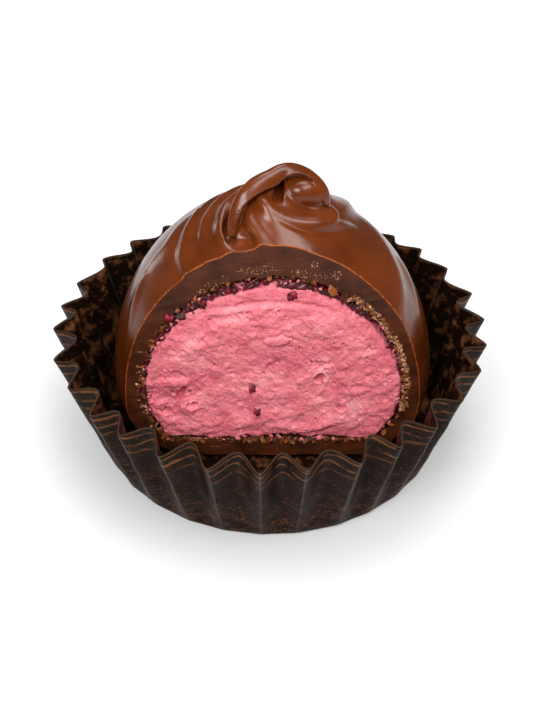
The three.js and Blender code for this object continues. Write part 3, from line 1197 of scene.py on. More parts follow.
@dataclass(frozen=True)
class Hood:
    """The curl on top: a curved strip between two edges, thick at its back, thin at its lip."""

    back: Points
    lip: Points
    heart: Place
    thickness: float = 1.45
    lip_thickness: float = 0.3
    bulge: float = 0.5
    least_reach: float = 0.2
    end_share: float = 0.5
    fullness: float = 0.7
    steps: int = 100

    def values(self, places: Array) -> Array:
        """The strip's field.

        Args:
            places: points in mm.

        Returns:
            Values, negative inside.
        """
        back, lip = smooth_route(self.back, self.steps), smooth_route(self.lip, self.steps)
        middle, half = (back + lip) / 2, (back - lip) / 2
        reach = np.maximum(np.linalg.norm(half, axis=1), self.least_reach)
        across = half / reach[:, None]
        along = np.gradient(middle, axis=0)
        step = np.linalg.norm(along, axis=1)
        outward = np.cross(across, along)
        outward /= np.linalg.norm(outward, axis=1)[:, None]
        facing = np.einsum("ij,ij->i", outward, middle - np.array(self.heart))
        outward *= np.where(facing < 0, -1, 1)[:, None]
        full = np.sin(np.pi * np.linspace(0, 1, self.steps)) ** self.fullness
        taper = self.end_share + (1 - self.end_share) * full
        best = np.full(len(places), np.inf)
        for n in range(self.steps):
            gap = places - middle[n]
            share = gap @ across[n] / reach[n]
            inside = np.clip(share, -1, 1)
            thick = self.lip_thickness + (self.thickness - self.lip_thickness) * (1 + inside) / 2
            thick = thick * taper[n]
            rise = gap @ outward[n] - self.bulge * (1 - inside * inside)
            over = np.maximum(np.abs(share) * reach[n] - reach[n] + thick / 4, 0)
            beside = np.maximum(np.abs(gap @ along[n]) / step[n] - step[n] * 0.5, 0)
            best = np.minimum(best, np.sqrt(over**2 + rise**2 + beside**2) - thick / 2)
        return best


@dataclass(frozen=True)
class Dome:
    """A plain dome: half an ellipsoid on a wall that draws in towards a rounded foot."""

    centre: tuple[float, float]
    radius: float
    widest: float
    height: float
    foot_radius: float
    foot_level: float

    def skin(self, places: Array, lift: HeightMap | None = None) -> Array:
        """The field of the dome's side and top, without its base.

        Args:
            places: points in mm.
            lift: heights over the dome by azimuth and polar angle in degrees.

        Returns:
            Values, negative inside.
        """
        x, y, z = (places - np.array((*self.centre, self.widest))).T
        tall = self.height - self.widest
        flat, up = np.hypot(x, y), np.maximum(z, 0)
        size = np.hypot(flat / self.radius, up / tall)
        polar = np.arctan2(flat / self.radius, up / tall)
        stretch = np.hypot(np.sin(polar) / self.radius, np.cos(polar) / tall)
        top = (size - 1) / stretch
        if lift is not None:
            top = top - lift.read(np.degrees(np.arctan2(y, x)), np.degrees(polar))
        low = np.clip(-z / (self.widest - self.foot_level), 0, 1.2)
        wall = flat - (self.radius - (self.radius - self.foot_radius) * low * low)
        return np.where(z > 0, top, wall)


@dataclass(frozen=True)
class SwirledDome(Dome):
    """The chocolate's outside: a dome with ropes, a hood and rolls, and a rounded foot."""

    centre: tuple[float, float] = (0.26, 1.11)
    radius: float = 16.25
    widest: float = 6.4
    height: float = 25.3
    foot_radius: float = 12.4
    foot_level: float = 0.6
    mound_rise: float = 2.7
    mound_polar: float = 12.0
    ropes: tuple[Rope, ...] = (
        Rope(
            ((158, 28), (172, 34), (183, 38.5), (187, 46), (191, 55), (195, 62), (201, 74)),
            0.35, 2.6, 0.7,
        ),
        Rope(((188, 48), (193, 55), (198, 63), (203, 73)), 0.16, 0.7, 0.45),
        Rope(((368, 50), (360, 56), (352, 63), (346, 72)), 0.2, 0.5, 0.9),
        Rope(
            ((118, 16), (138, 21), (154, 24.5), (176, 27.3), (193, 31.3), (201, 34.1),
             (210, 36.1), (219, 38.1), (230, 42)),
            0.55, 2.0, 0.5,
        ),
        Rope(
            ((112, 11), (135, 13.5), (155, 17.5), (175, 20.2), (193, 23.5), (207, 26.6),
             (220, 29.7), (232, 33)),
            0.5, 1.1, 0.5,
        ),
        Rope(
            ((160, 10), (174, 11.5), (185, 14.8), (204, 18.4), (216, 20.9), (227, 22.5),
             (238, 23.7), (247, 24.2)),
            0.75, 0.55, 0.8,
        ),
        Rope(
            ((222, 8), (240, 9.3), (256, 10.6), (276, 13.4), (295, 16.6), (314, 20.2),
             (331, 24.5), (347, 30)),
            0.42, 0.45, 1.5,
        ),
        Rope(((345, 17), (366, 22), (388, 30), (407, 38), (424, 45), (440, 52)), 0.6, 2.0, 0.9),
        Rope(((20, 18), (54, 27), (75, 36), (93, 44), (110, 53), (125, 62)), 0.7, 2.4, 0.9),
        Rope(
            ((386, 36), (374, 39), (362.4, 42.7), (353, 47.9), (344.6, 52.2), (336.5, 56.2),
             (330, 63)),
            0.3, 0.7, 1.6,
        ),
    )
    hood: Hood = Hood(
        back=(
            (-3.25, -2.2, 24.3), (-3.05, -1.7, 25.7), (-2.75, -1.0, 26.7), (-2.2, -0.3, 27.7),
            (-1.2, 0.5, 28.4), (-0.2, 1.0, 28.75), (0.9, 1.4, 28.9), (2.0, 1.6, 28.6),
            (3.1, 1.6, 28.1), (4.1, 1.5, 27.3), (4.7, 1.3, 26.5), (4.9, 1.1, 25.6),
        ),
        lip=(
            (-3.28, -3.0, 24.8), (-2.98, -2.6, 26.1), (-2.56, -2.1, 27.1), (-1.75, -1.6, 27.85),
            (-0.51, -0.9, 28.35), (0.4, -0.4, 28.5), (1.33, 0.2, 29.0), (2.35, 0.6, 29.2),
            (3.38, 0.8, 28.9), (4.3, 0.8, 28.1), (4.82, 0.6, 27.3), (5.05, 0.4, 26.3),
        ),
        heart=(1.0, 0.8, 25.5),
    )
    lumps: tuple[Blob, ...] = (
        Blob((3.0, 1.1, 26.9), (1.95, 1.5, 1.55), 0.35),
        Blob((0.4, 1.9, 25.9), (3.2, 1.7, 2.6), 0.8),
        Blob((-0.7, 0.7, 26.0), (2.0, 1.8, 1.9), 0.5),
        Blob((2.6, 0.2, 24.95), (3.9, 2.4, 1.0), 0.5),
        Blob((4.2, 1.3, 26.3), (1.0, 1.2, 1.5), 0.6),
    )
    rolls: tuple[Roll, ...] = (
        Roll(
            ((-0.9, -0.7, 27.35), (-0.4, -1.3, 26.9), (0.1, -1.6, 26.4), (0.8, -1.75, 25.9),
             (1.6, -1.8, 25.5), (3.0, -1.7, 25.15), (4.4, -1.4, 24.85), (5.6, -0.8, 24.35),
             (6.8, 0.2, 23.6), (7.9, 1.4, 22.2)),
            0.7, 0.6,
        ),
        Roll(
            ((-2.1, -1.0, 26.2), (-1.75, -2.2, 25.5), (-1.2, -3.1, 24.8), (-0.75, -3.9, 24.2),
             (-0.3, -4.9, 23.7), (0.0, -6.0, 23.2)),
            0.62, 0.5,
        ),
    )
    scoops: tuple[Blob | Roll, ...] = (
        Roll(
            ((1.75, 0.7, 28.4), (1.15, 0.2, 28.2), (0.75, -0.3, 27.8), (0.65, -0.6, 27.35),
             (0.95, -0.7, 26.95)),
            0.5, 0.2,
        ),
        Blob((0.85, 0.6, 27.6), (0.45, 1.8, 0.9), 0.25),
        Roll(
            ((-3.0, 0.2, 25.8), (-3.5, -0.8, 25.2), (-3.8, -1.5, 24.7), (-3.9, -2.3, 24.3),
             (-3.6, -3.0, 24.1)),
            0.62, 0.3,
        ),
        Blob((-2.9, -3.8, 24.7), (1.3, 0.9, 0.6), 0.7),
    )
    hood_blend: float = 0.3
    knob_low: Place = (-6.5, -6.5, 21.5)
    knob_high: Place = (10.0, 6.0, 31.0)
    rope_steps: int = 110
    rope_skew: float = 0.6
    map_step_deg: float = 0.33

    def surface(self, azimuth: Array, polar: Array) -> Array:
        """Points of the plain dome.

        Args:
            azimuth: azimuths in radians.
            polar: polar angles in radians.

        Returns:
            Points in mm.
        """
        flat, rise = self.radius * np.sin(polar), (self.height - self.widest) * np.cos(polar)
        steps = (flat * np.cos(azimuth), flat * np.sin(azimuth), rise)
        return np.stack(steps, axis=-1) + np.array((*self.centre, self.widest))

    def normal(self, azimuth: Array, polar: Array) -> Array:
        """Outward normals of the plain dome.

        Args:
            azimuth: azimuths in radians.
            polar: polar angles in radians.

        Returns:
            Unit vectors.
        """
        flat, rise = np.sin(polar) / self.radius, np.cos(polar) / (self.height - self.widest)
        found = np.stack([flat * np.cos(azimuth), flat * np.sin(azimuth), rise], axis=-1)
        return found / np.linalg.norm(found, axis=-1)[..., None]

    def lift(self, turn: Array, down: Array) -> Array:
        """Height of the swirl over the plain dome: the mound and every rope.

        Args:
            turn: azimuths in degrees.
            down: polar angles in degrees.

        Returns:
            Heights in mm.
        """
        places = self.surface(np.radians(turn), np.radians(down))
        total = self.mound_rise * bump(down / self.mound_polar)
        share = np.linspace(0, 1, self.rope_steps)
        for rope in self.ropes:
            azimuth, polar = np.radians(smooth_route(rope.route, self.rope_steps)).T
            rises = rope.rise * np.sin(np.pi * share**self.rope_skew)
            route, normals = self.surface(azimuth, polar), self.normal(azimuth, polar)
            total += crest_height(places, route, normals, rises, rope.left, rope.right)
        return total

    def outside(self) -> Field:
        """The field of the whole outside.

        Returns:
            A field, negative inside.
        """
        lift = HeightMap.of((-180, 0), (180, 90), self.map_step_deg, self.lift)
        low_corner, high_corner = np.array(self.knob_low), np.array(self.knob_high)

        def body(places: Array) -> Array:
            """Field of the outside.

            Args:
                places: points in mm.

            Returns:
                Values, negative inside.
            """
            value = np.maximum(self.skin(places, lift), self.foot_level - places[:, 2])
            near = np.all((places > low_corner) & (places < high_corner), axis=1)
            if near.any():
                value[near] = self.with_knob(places[near], value[near])
            return value

        return body

    def with_knob(self, places: Array, value: Array) -> Array:
        """Joins the lumps, rolls and hood to the dome near the top and scoops the pockets out.

        Args:
            places: points in mm.
            value: the dome's field there.

        Returns:
            Values of the joined field.
        """
        for lump in self.lumps + self.rolls:
            value = smooth_union(value, lump.values(places), lump.blend)
        for scoop in self.scoops:
            value = smooth_cut(value, scoop.values(places), scoop.blend)
        return smooth_union(value, self.hood.values(places), self.hood_blend)


@dataclass(frozen=True)
class Slice:
    """The knife's cut: a flat face that leans back as it rises."""

    distance: float = 6.82
    lean_deg: float = 5.7

    def depth(self, places: Array) -> Array:
        """Distance in front of the cut, negative behind it."""
        lean = math.tan(math.radians(self.lean_deg))
        return (-self.distance + places[:, 2] * lean - places[:, 1]) / math.hypot(1, lean)

    def place(self, x: Array, z: Array, proud: Array | float = 0.0) -> Array:
        """Points on the cut, or proud of it by some mm, by distance to the right and height."""
        lean = math.tan(math.radians(self.lean_deg))
        return np.stack([x, -self.distance + z * lean - proud, z], axis=1)


@dataclass(frozen=True)
class Hollow(Dome):
    """The space inside the chocolate, which the cream fills."""

    centre: tuple[float, float] = (0.3, 1.11)
    radius: float = 14.75
    widest: float = 8.0
    height: float = 22.3
    foot_radius: float = 13.0
    foot_level: float = 2.6
    farthest: float = 20.0
    halvings: int = 24

    def inset(self, places: Array, by: Array | float, floor: Array | float | None = None) -> Array:
        """The hollow's field, moved inwards.

        Args:
            places: points in mm.
            by: how far it is moved, in mm.
            floor: how far its floor is raised, or None for the same distance.

        Returns:
            Values, negative inside.
        """
        base = self.foot_level + (by if floor is None else floor) - places[:, 2]
        return np.maximum(self.skin(places) + by, base)

    def edge(self, cut: Slice, angles: Array, outwards: Array, proud: Array) -> Array:
        """Points on the cut, along the edge where it opens the hollow.

        Args:
            cut: the knife's cut.
            angles: directions from the hollow's middle in degrees, 0 to the right and 90 up.
            outwards: how far outside the edge each point lies, in mm.
            proud: how far in front of the cut, in mm.

        Returns:
            Points in mm.
        """
        turn = np.radians(angles)
        near, far = np.zeros(len(turn)), np.full(len(turn), self.farthest)
        for _ in range(self.halvings):
            reach = (near + far) / 2
            x = self.centre[0] + reach * np.cos(turn)
            z = self.widest + reach * np.sin(turn)
            within = self.inset(cut.place(x, z), 0) < 0
            near, far = np.where(within, reach, near), np.where(within, far, reach)
        reach = near + outwards
        x = self.centre[0] + reach * np.cos(turn)
        return cut.place(x, self.widest + reach * np.sin(turn), proud)


@dataclass(frozen=True)
class ChocolateShell:
    """The chocolate: the swirled dome with the hollow and the slice taken out of it."""

    dome: SwirledDome
    hollow: Hollow
    cut: Slice
    crumble: float = 0.2
    crumbling: Grain = Grain(0.7, 3, 31)
    crumble_reach: float = 1.2
    near_cut: float = 2.4
    near_wall: float = 1.0
    face_relief: float = 0.035
    scores: Grain = Grain(1.2, 3, 21, (0.25, 1.0, 2.2))
    dips: Grain = Grain(2.5, 2, 25)
    score_slope: tuple[float, float] = (0.96, 0.28)
    face_step: float = 0.06
    on_face: float = 0.04
    in_cavity: float = 0.06

    def relief(self, x: Array, z: Array) -> Array:
        """The sliced face's unevenness: long shallow scores and a few dips.

        Args:
            x: distances to the right.
            z: heights.

        Returns:
            Heights in mm.
        """
        run, rise = self.score_slope
        along = np.stack([run * x + rise * z, np.zeros(len(x)), run * z - rise * x], axis=1)
        return self.face_relief * (self.scores.at(along) + self.dips.at(along))

    def build(self, gloss: bpy.types.Material, sliced: bpy.types.Material) -> bpy.types.Object:
        """Meshes the shell and gives its outside and its sliced face their own finishes.

        Args:
            gloss: the poured outside.
            sliced: the face that the knife left.

        Returns:
            The shell.
        """
        outside = self.dome.outside()
        face = HeightMap.of((-17, 0), (17.5, 26), self.face_step, self.relief)

        def face_depth(places: Array) -> Array:
            """Distance in front of the uneven sliced face."""
            return self.cut.depth(places) + face.read(places[:, 0], places[:, 2])

        def cavity(places: Array) -> Array:
            """The hollow, crumbled at its edge where the knife passed.

            Args:
                places: points in mm.

            Returns:
                Values, negative in the hollow.
            """
            value = self.hollow.inset(places, 0)
            depth = self.cut.depth(places)
            close = (np.abs(depth) < self.near_cut) & (np.abs(value) < self.near_wall)
            rough = np.flatnonzero(close)
            noise = self.crumbling.at(places[rough])
            value[rough] -= noise * self.crumble * bump(depth[rough] / self.crumble_reach)
            return value

        def body(places: Array) -> Array:
            """Field of the shell."""
            value = np.maximum(outside(places), face_depth(places))
            return np.maximum(value, -cavity(places))

        mesher = FieldMesher(
            (
                spaced([(-17.4, -6, 0.2), (-6, 8, 0.13), (8, 17.9, 0.2)]),
                spaced([(-7.4, -3, 0.14), (-3, 4.5, 0.13), (4.5, 18.6, 0.32)]),
                spaced([(0.2, 15, 0.26), (15, 22, 0.18), (22, 31, 0.13)]),
            )
        )
        places, quads, normals = mesher.mesh(body)
        middles = places[quads].mean(axis=1)
        on_face = np.abs(face_depth(middles)) < self.on_face
        in_cavity = np.abs(cavity(middles)) < self.in_cavity
        numbers = (on_face | in_cavity).astype(int)
        measures = {"outer_depth": -outside(places), "inner_depth": cavity(places)}
        piece = make_piece(
            "swirled_chocolate", places, quads, [gloss, sliced], numbers, measures, normals
        )
        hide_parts("chocolate_shell")
        return piece


# ------------------------------------------------------------------------------ filling


@dataclass(frozen=True)
class BerrySeam:
    """The cooked fruit layer between the chocolate and the cream, lumpy where it was cut."""

    hollow: Hollow
    cut: Slice
    side_inset: float = 0.2
    top_inset: float = 0.68
    thin_half: float = 0.06
    thick_half: float = 0.26
    lump: float = 0.3
    lumps: Grain = Grain(0.8, 3, 41)
    lump_reach: float = 1.5
    near_cut: float = 2.5
    thick_levels: tuple[float, float] = (9.0, 17.0)
    set_back: float = 0.15
    front_lump: float = 0.25
    lower_edge: float = 4.2

    def build(self, finish: bpy.types.Material) -> bpy.types.Object:
        """Meshes the seam.

        Args:
            finish: the cooked fruit.

        Returns:
            The seam.
        """

        def body(places: Array) -> Array:
            """Field of the seam, thickest at the top.

            Args:
                places: points in mm.

            Returns:
                Values, negative inside.
            """
            depth = self.cut.depth(places)
            lumps = np.zeros(len(places))
            near = np.flatnonzero(np.abs(depth) < self.near_cut)
            lumps[near] = self.lumps.at(places[near]) * bump(depth[near] / self.lump_reach)
            thick = ramp(places[:, 2], *self.thick_levels)
            half = self.thin_half + (self.thick_half - self.thin_half) * thick + self.lump * lumps
            inset = self.side_inset + (self.top_inset - self.side_inset) * thick
            skin = np.abs(self.hollow.inset(places, inset)) - half
            front = depth + self.set_back - self.front_lump * lumps
            return np.maximum(np.maximum(skin, front), self.lower_edge - places[:, 2])

        mesher = FieldMesher(
            (
                spaced([(-15.6, 16.1, 0.17)]),
                spaced([(-7.4, -4.6, 0.16), (-4.6, 17.0, 0.7)]),
                spaced([(3.6, 23.0, 0.17)]),
            )
        )
        places, quads, normals = mesher.mesh(body)
        piece = make_piece("berry_conserve", places, quads, [finish], normals=normals)
        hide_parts("berry_seam")
        return piece


@dataclass(frozen=True)
class Smear:
    """A ridge that the knife left in the cream: (x, z) places, and its flanks' widths in mm."""

    route: Points
    rise: float
    left: float
    right: float


@dataclass(frozen=True)
class Pit:
    """A torn hollow in the cream, or with a negative depth a raised flake."""

    centre: tuple[float, float]
    radii: tuple[float, float]
    depth: float


@dataclass(frozen=True)
class CreamFilling:
    """The whipped cream: smeared by the knife, with torn pits, ridges and a loose flake."""

    hollow: Hollow
    cut: Slice
    side_inset: float = 0.4
    top_inset: float = 0.95
    inset_levels: tuple[float, float] = (9.0, 18.0)
    floor: float = 0.35
    floor_waves: tuple[float, float, float] = (0.25, 0.9, 0.37)
    proud: float = 0.05
    edge_blend: float = 0.3
    near_cut: float = 2.5
    near_wall: float = 1.5
    rag_reach: float = 1.5
    drag_deg: float = 24.0
    drag: float = 0.085
    dragged: Grain = Grain(2.6, 3, 51, (0.4, 1.0, 1.2))
    tooth: float = 0.09
    fine: Grain = Grain(0.6, 3, 61)
    coarse: Grain = Grain(1.3, 2, 67)
    torn: float = 0.3
    tears: Grain = Grain(1.2, 3, 57, (0.8, 1.0, 1.0))
    tear_at: tuple[float, float] = (-9.5, 6.5)
    tear_reach: tuple[float, float] = (3.2, 3.4)
    tear_ends: tuple[float, float] = (9.0, 13.0)
    ragged: float = 0.24
    rags: Grain = Grain(1.1, 3, 71)
    # How far from the seam the juice and the painted shade reach, in mm.
    juice_and_shade_reach: float = 1.5
    smears: tuple[Smear, ...] = (
        Smear(
            ((-12, 7.5), (-9.7, 11), (-7.6, 13.9), (-4.9, 16), (-2, 17), (0.1, 17.4)),
            0.2, 0.35, 1.8,
        ),
        Smear(((1.3, 15.4), (2.5, 16.2), (4.3, 16.8), (6, 16.8), (6.9, 18.2)), 0.16, 0.3, 1.3),
        Smear(((-5.5, 17.7), (-2.4, 18.3), (0.8, 18.6), (4.2, 18.2), (6.8, 17.4)), -0.2, 0.22, 0.3),
        Smear(((-5.5, 17.2), (-2.4, 17.8), (0.8, 18.1), (4.2, 17.8)), 0.12, 0.3, 0.4),
        Smear(
            ((-6.6, 3.6), (-3.8, 4.1), (-1, 4.8), (1.4, 5.4), (3.6, 6.3), (5.4, 7.5)),
            0.18, 0.9, 0.3,
        ),
        Smear(
            ((-1, 4.1), (1.4, 4.2), (2.4, 3.7), (4, 3.8), (6.4, 4.6), (8.4, 5.3)), 0.24, 0.6, 0.22
        ),
        Smear(((-2.5, 7.3), (0.5, 8.2), (2.6, 9.2), (4.4, 10.9), (6.2, 11.8)), 0.1, 0.5, 0.9),
        Smear(((7, 8.1), (8.8, 8.4), (10.8, 9.7), (12.5, 11.4)), 0.16, 0.7, 0.3),
        Smear(((-11.5, 4.2), (-9, 3.9), (-6, 4.5), (-3, 5.6)), 0.14, 0.7, 0.4),
        Smear(((-10.8, 9.8), (-9.4, 9.3), (-8, 9.6), (-6, 10.6)), 0.16, 0.35, 0.4),
        Smear(((-8.8, 12.6), (-6, 14), (-3, 14.8), (-0.5, 15)), 0.07, 0.3, 1.0),
    )
    pits: tuple[Pit, ...] = (
        Pit((6.1, 15.1), (0.62, 0.5), 0.13),
        Pit((5.3, 11.6), (0.7, 0.45), 0.12),
        Pit((4.75, 10.1), (0.36, 0.46), 0.5),
        Pit((8.9, 9.7), (0.3, 0.34), 0.35),
        Pit((7.2, 6.6), (0.6, 0.42), 0.3),
        Pit((-8.6, 8.2), (0.72, 0.5), 0.55),
        Pit((-7.5, 7.0), (0.55, 0.3), 0.3),
        Pit((-10, 6.2), (0.5, 0.4), 0.3),
        Pit((-9.6, 10.3), (0.8, 0.5), 0.14),
        Pit((-1.75, 8.75), (0.34, 0.4), 0.16),
        Pit((-1.25, 6.05), (0.36, 0.34), 0.16),
        Pit((-2.9, 17.4), (0.2, 0.16), 0.3),
        Pit((-1.9, 17.3), (0.22, 0.14), 0.25),
        Pit((0.8, 17.6), (0.24, 0.16), 0.3),
        Pit((0.78, 14.3), (0.72, 0.42), -0.3),
    )
    smear_steps: int = 40
    bubbles: int = 150
    bubble_seed: int = 7
    bubble_x: tuple[float, float] = (-12.0, 12.5)
    bubble_z: tuple[float, float] = (3.4, 19.0)
    bubble_radii: tuple[float, float] = (0.07, 0.16)
    map_step: float = 0.05

    def relief(self, x: Array, z: Array) -> Array:
        """Height of the cream's face in front of the cut.

        Args:
            x: distances to the right.
            z: heights.

        Returns:
            Heights in mm.
        """
        turn = math.radians(self.drag_deg)
        flat = np.zeros(len(x))
        turned_x = math.cos(turn) * x + math.sin(turn) * z
        turned_z = math.cos(turn) * z - math.sin(turn) * x
        grain = np.stack([turned_x, flat, turned_z], axis=1)
        plain = np.stack([x, flat, z], axis=1)
        fine, coarse = self.fine.at(plain), self.coarse.at(plain)
        height = self.drag * self.dragged.at(grain) + self.tooth * fine
        # The lower left and both ends tore instead of smearing.
        (left, low), (wide, tall) = self.tear_at, self.tear_reach
        lower_left = bump((x - left) / wide) * bump((z - low) / tall)
        tear = np.clip(lower_left + ramp(np.abs(x), *self.tear_ends) * 0.5, 0, 1)
        height += self.torn * tear * self.tears.at(grain)
        normal = np.array([[0.0, -1.0, 0.0]])
        for smear in self.smears:
            across, up = smooth_route(smear.route, self.smear_steps).T
            route = np.stack([across, np.zeros(self.smear_steps), up], axis=1)
            rises = smear.rise * np.sin(np.pi * np.linspace(0, 1, self.smear_steps)) ** 0.5
            height += crest_height(plain, route, normal, rises, smear.left, smear.right)
        dice = np.random.default_rng(self.bubble_seed)
        ranges = (self.bubble_x, self.bubble_z, self.bubble_radii)
        throws = [dice.uniform(*span, self.bubbles) for span in ranges]
        spots = tuple(Pit((a, b), (r, r * 0.8), r * 1.2) for a, b, r in zip(*throws))
        for pit in self.pits + spots:
            across, up = (x - pit.centre[0]) / pit.radii[0], (z - pit.centre[1]) / pit.radii[1]
            close = (np.abs(across) < 3) & (np.abs(up) < 3)
            away = np.hypot(across[close], up[close]) + 0.7 * fine[close] + 0.5 * coarse[close]
            height[close] -= pit.depth * (1 - ramp(away, 0.65, 1.1))
            height[close] += 0.2 * pit.depth * bump((away - 1.3) / 0.25)
        return height

    def build(self, finish: bpy.types.Material) -> bpy.types.Object:
        """Meshes the cream.

        Args:
            finish: the whipped cream's surface.

        Returns:
            The cream.
        """
        relief = HeightMap.of((-15, 2), (15.5, 22.6), self.map_step, self.relief)

        def body(places: Array) -> Array:
            """Field of the cream.

            Args:
                places: points in mm.

            Returns:
                Values, negative inside.
            """
            x, z, depth = places[:, 0], places[:, 2], self.cut.depth(places)
            rise, first, second = self.floor_waves
            inset = self.side_inset
            inset = inset + (self.top_inset - self.side_inset) * ramp(z, *self.inset_levels)
            floor = self.floor + rise * np.sin(x * first) * np.sin(x * second + 1)
            dome = self.hollow.inset(places, inset, floor)
            near = (np.abs(depth) < self.near_cut) & (np.abs(dome) < self.near_wall)
            near = np.flatnonzero(near)
            rags = self.rags.at(places[near]) * self.ragged
            dome[near] -= rags * bump(depth[near] / self.rag_reach)
            front = depth - self.proud - relief.read(x, z)
            return -smooth_union(-dome, -front, self.edge_blend)

        mesher = FieldMesher(
            (
                spaced([(-15.0, 15.5, 0.12)]),
                spaced([(-8.0, -4.0, 0.15), (-4.0, 16.5, 0.8)]),
                spaced([(2.4, 22.5, 0.12)]),
            )
        )
        places, quads, normals = mesher.mesh(body)
        level = relief.read(places[:, 0], places[:, 2])
        measures = {
            "pit_depth": np.clip(-level / 0.4, 0, 1),
            "from_seam": np.clip(-self.hollow.inset(places, self.top_inset) / self.juice_and_shade_reach, 0, 1),
        }
        piece = make_piece(
            "berry_cream", places, quads, [finish], measures=measures, normals=normals
        )
        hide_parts("cream_filling")
        return piece


# ------------------------------------------------------------------------------ crumbs


@dataclass(frozen=True)
class Strewing:
    """Crumbs strewn along the hollow's edge on the cut.

    Angles are directions from the hollow's middle in degrees, 0 to the right and 90 up. outwards
    and proud are ranges in mm: across the edge, and in front of the cut.
    """

    angles: tuple[float, float]
    outwards: tuple[float, float]
    proud: tuple[float, float]
    size: tuple[float, float]
    count: int
    flatness: float = 0.6


@dataclass(frozen=True)
class Cluster:
    """A few lumps stuck together on the cut, round one (x, z) place in mm."""

    centre: tuple[float, float]
    reach: float
    size: tuple[float, float]
    count: int
    proud: float = 0.05
    flatness: float = 0.8


@dataclass(frozen=True)
class Crumbs:
    """One kind of crumb, joined into one mesh: lumps with uneven faces, each turned its own way."""

    name: str
    slot: str
    seed: int
    strewings: tuple[Strewing, ...]
    jagged: float = 0.3
    smooth: bool = False
    clusters: tuple[Cluster, ...] = ()
    small_bias: float = 2.5
    stretch: tuple[float, float] = (0.6, 1.4)
    widest_jag: float = 1.5

    def build(self, hollow: Hollow, cut: Slice, finish: bpy.types.Material) -> bpy.types.Object:
        """Builds the crumbs.

        Args:
            hollow: the hollow whose edge they lie along.
            cut: the cut that they lie on.
            finish: their surface.

        Returns:
            The joined crumbs.
        """
        dice = np.random.default_rng(self.seed)
        spots, sizes, flats = [], [], []
        for strewing in self.strewings:
            count = strewing.count
            angles = dice.uniform(*strewing.angles, count)
            outwards = dice.uniform(*strewing.outwards, count)
            spots.append(hollow.edge(cut, angles, outwards, dice.uniform(*strewing.proud, count)))
            low, high = strewing.size
            sizes.append(low + (high - low) * dice.uniform(0, 1, count) ** self.small_bias)
            flats.append(np.full(count, strewing.flatness))
        for cluster in self.clusters:
            x = dice.normal(cluster.centre[0], cluster.reach, cluster.count)
            z = dice.normal(cluster.centre[1], cluster.reach, cluster.count)
            spots.append(cut.place(x, z, cluster.proud))
            sizes.append(dice.uniform(*cluster.size, cluster.count))
            flats.append(np.full(cluster.count, cluster.flatness))
        spots, sizes, flats = (np.concatenate(rows) for rows in (spots, sizes, flats))
        ball = bmesh.new()
        bmesh.ops.create_icosphere(ball, subdivisions=2 if self.smooth else 1, radius=1)
        knots = np.array([corner.co for corner in ball.verts])
        faces = np.array([[corner.index for corner in face.verts] for face in ball.faces])
        ball.free()
        count = len(spots)
        turns = np.linalg.qr(dice.normal(size=(count, 3, 3)))[0]
        turns *= np.sign(np.linalg.det(turns))[:, None, None]
        stretch = dice.uniform(*self.stretch, (count, 3))
        stretch[:, 1] = flats
        shapes = knots[None] * stretch[:, None, :]
        jags = dice.normal(size=(count, len(knots), 1)).clip(-self.widest_jag, self.widest_jag)
        shapes *= 1 + self.jagged * jags
        places = spots[:, None, :] + sizes[:, None, None] * (shapes @ turns)
        rows = (faces[None] + (np.arange(count) * len(knots))[:, None, None]).reshape(-1, 3)
        piece = make_piece(
            self.name,
            places.reshape(-1, 3),
            rows,
            [finish],
            measures={"crumb_shade": np.repeat(dice.uniform(0, 1, count), len(knots))},
            smooth=self.smooth,
        )
        return piece

# ------------------------------------------------------------------------------ studio


@dataclass(frozen=True)
class Softbox:
    """One soft light: where it stands and how large and strong it is."""

    name: str
    place_mm: Place
    size_mm: tuple[float, float]
    power: float
    mirrored: bool = True


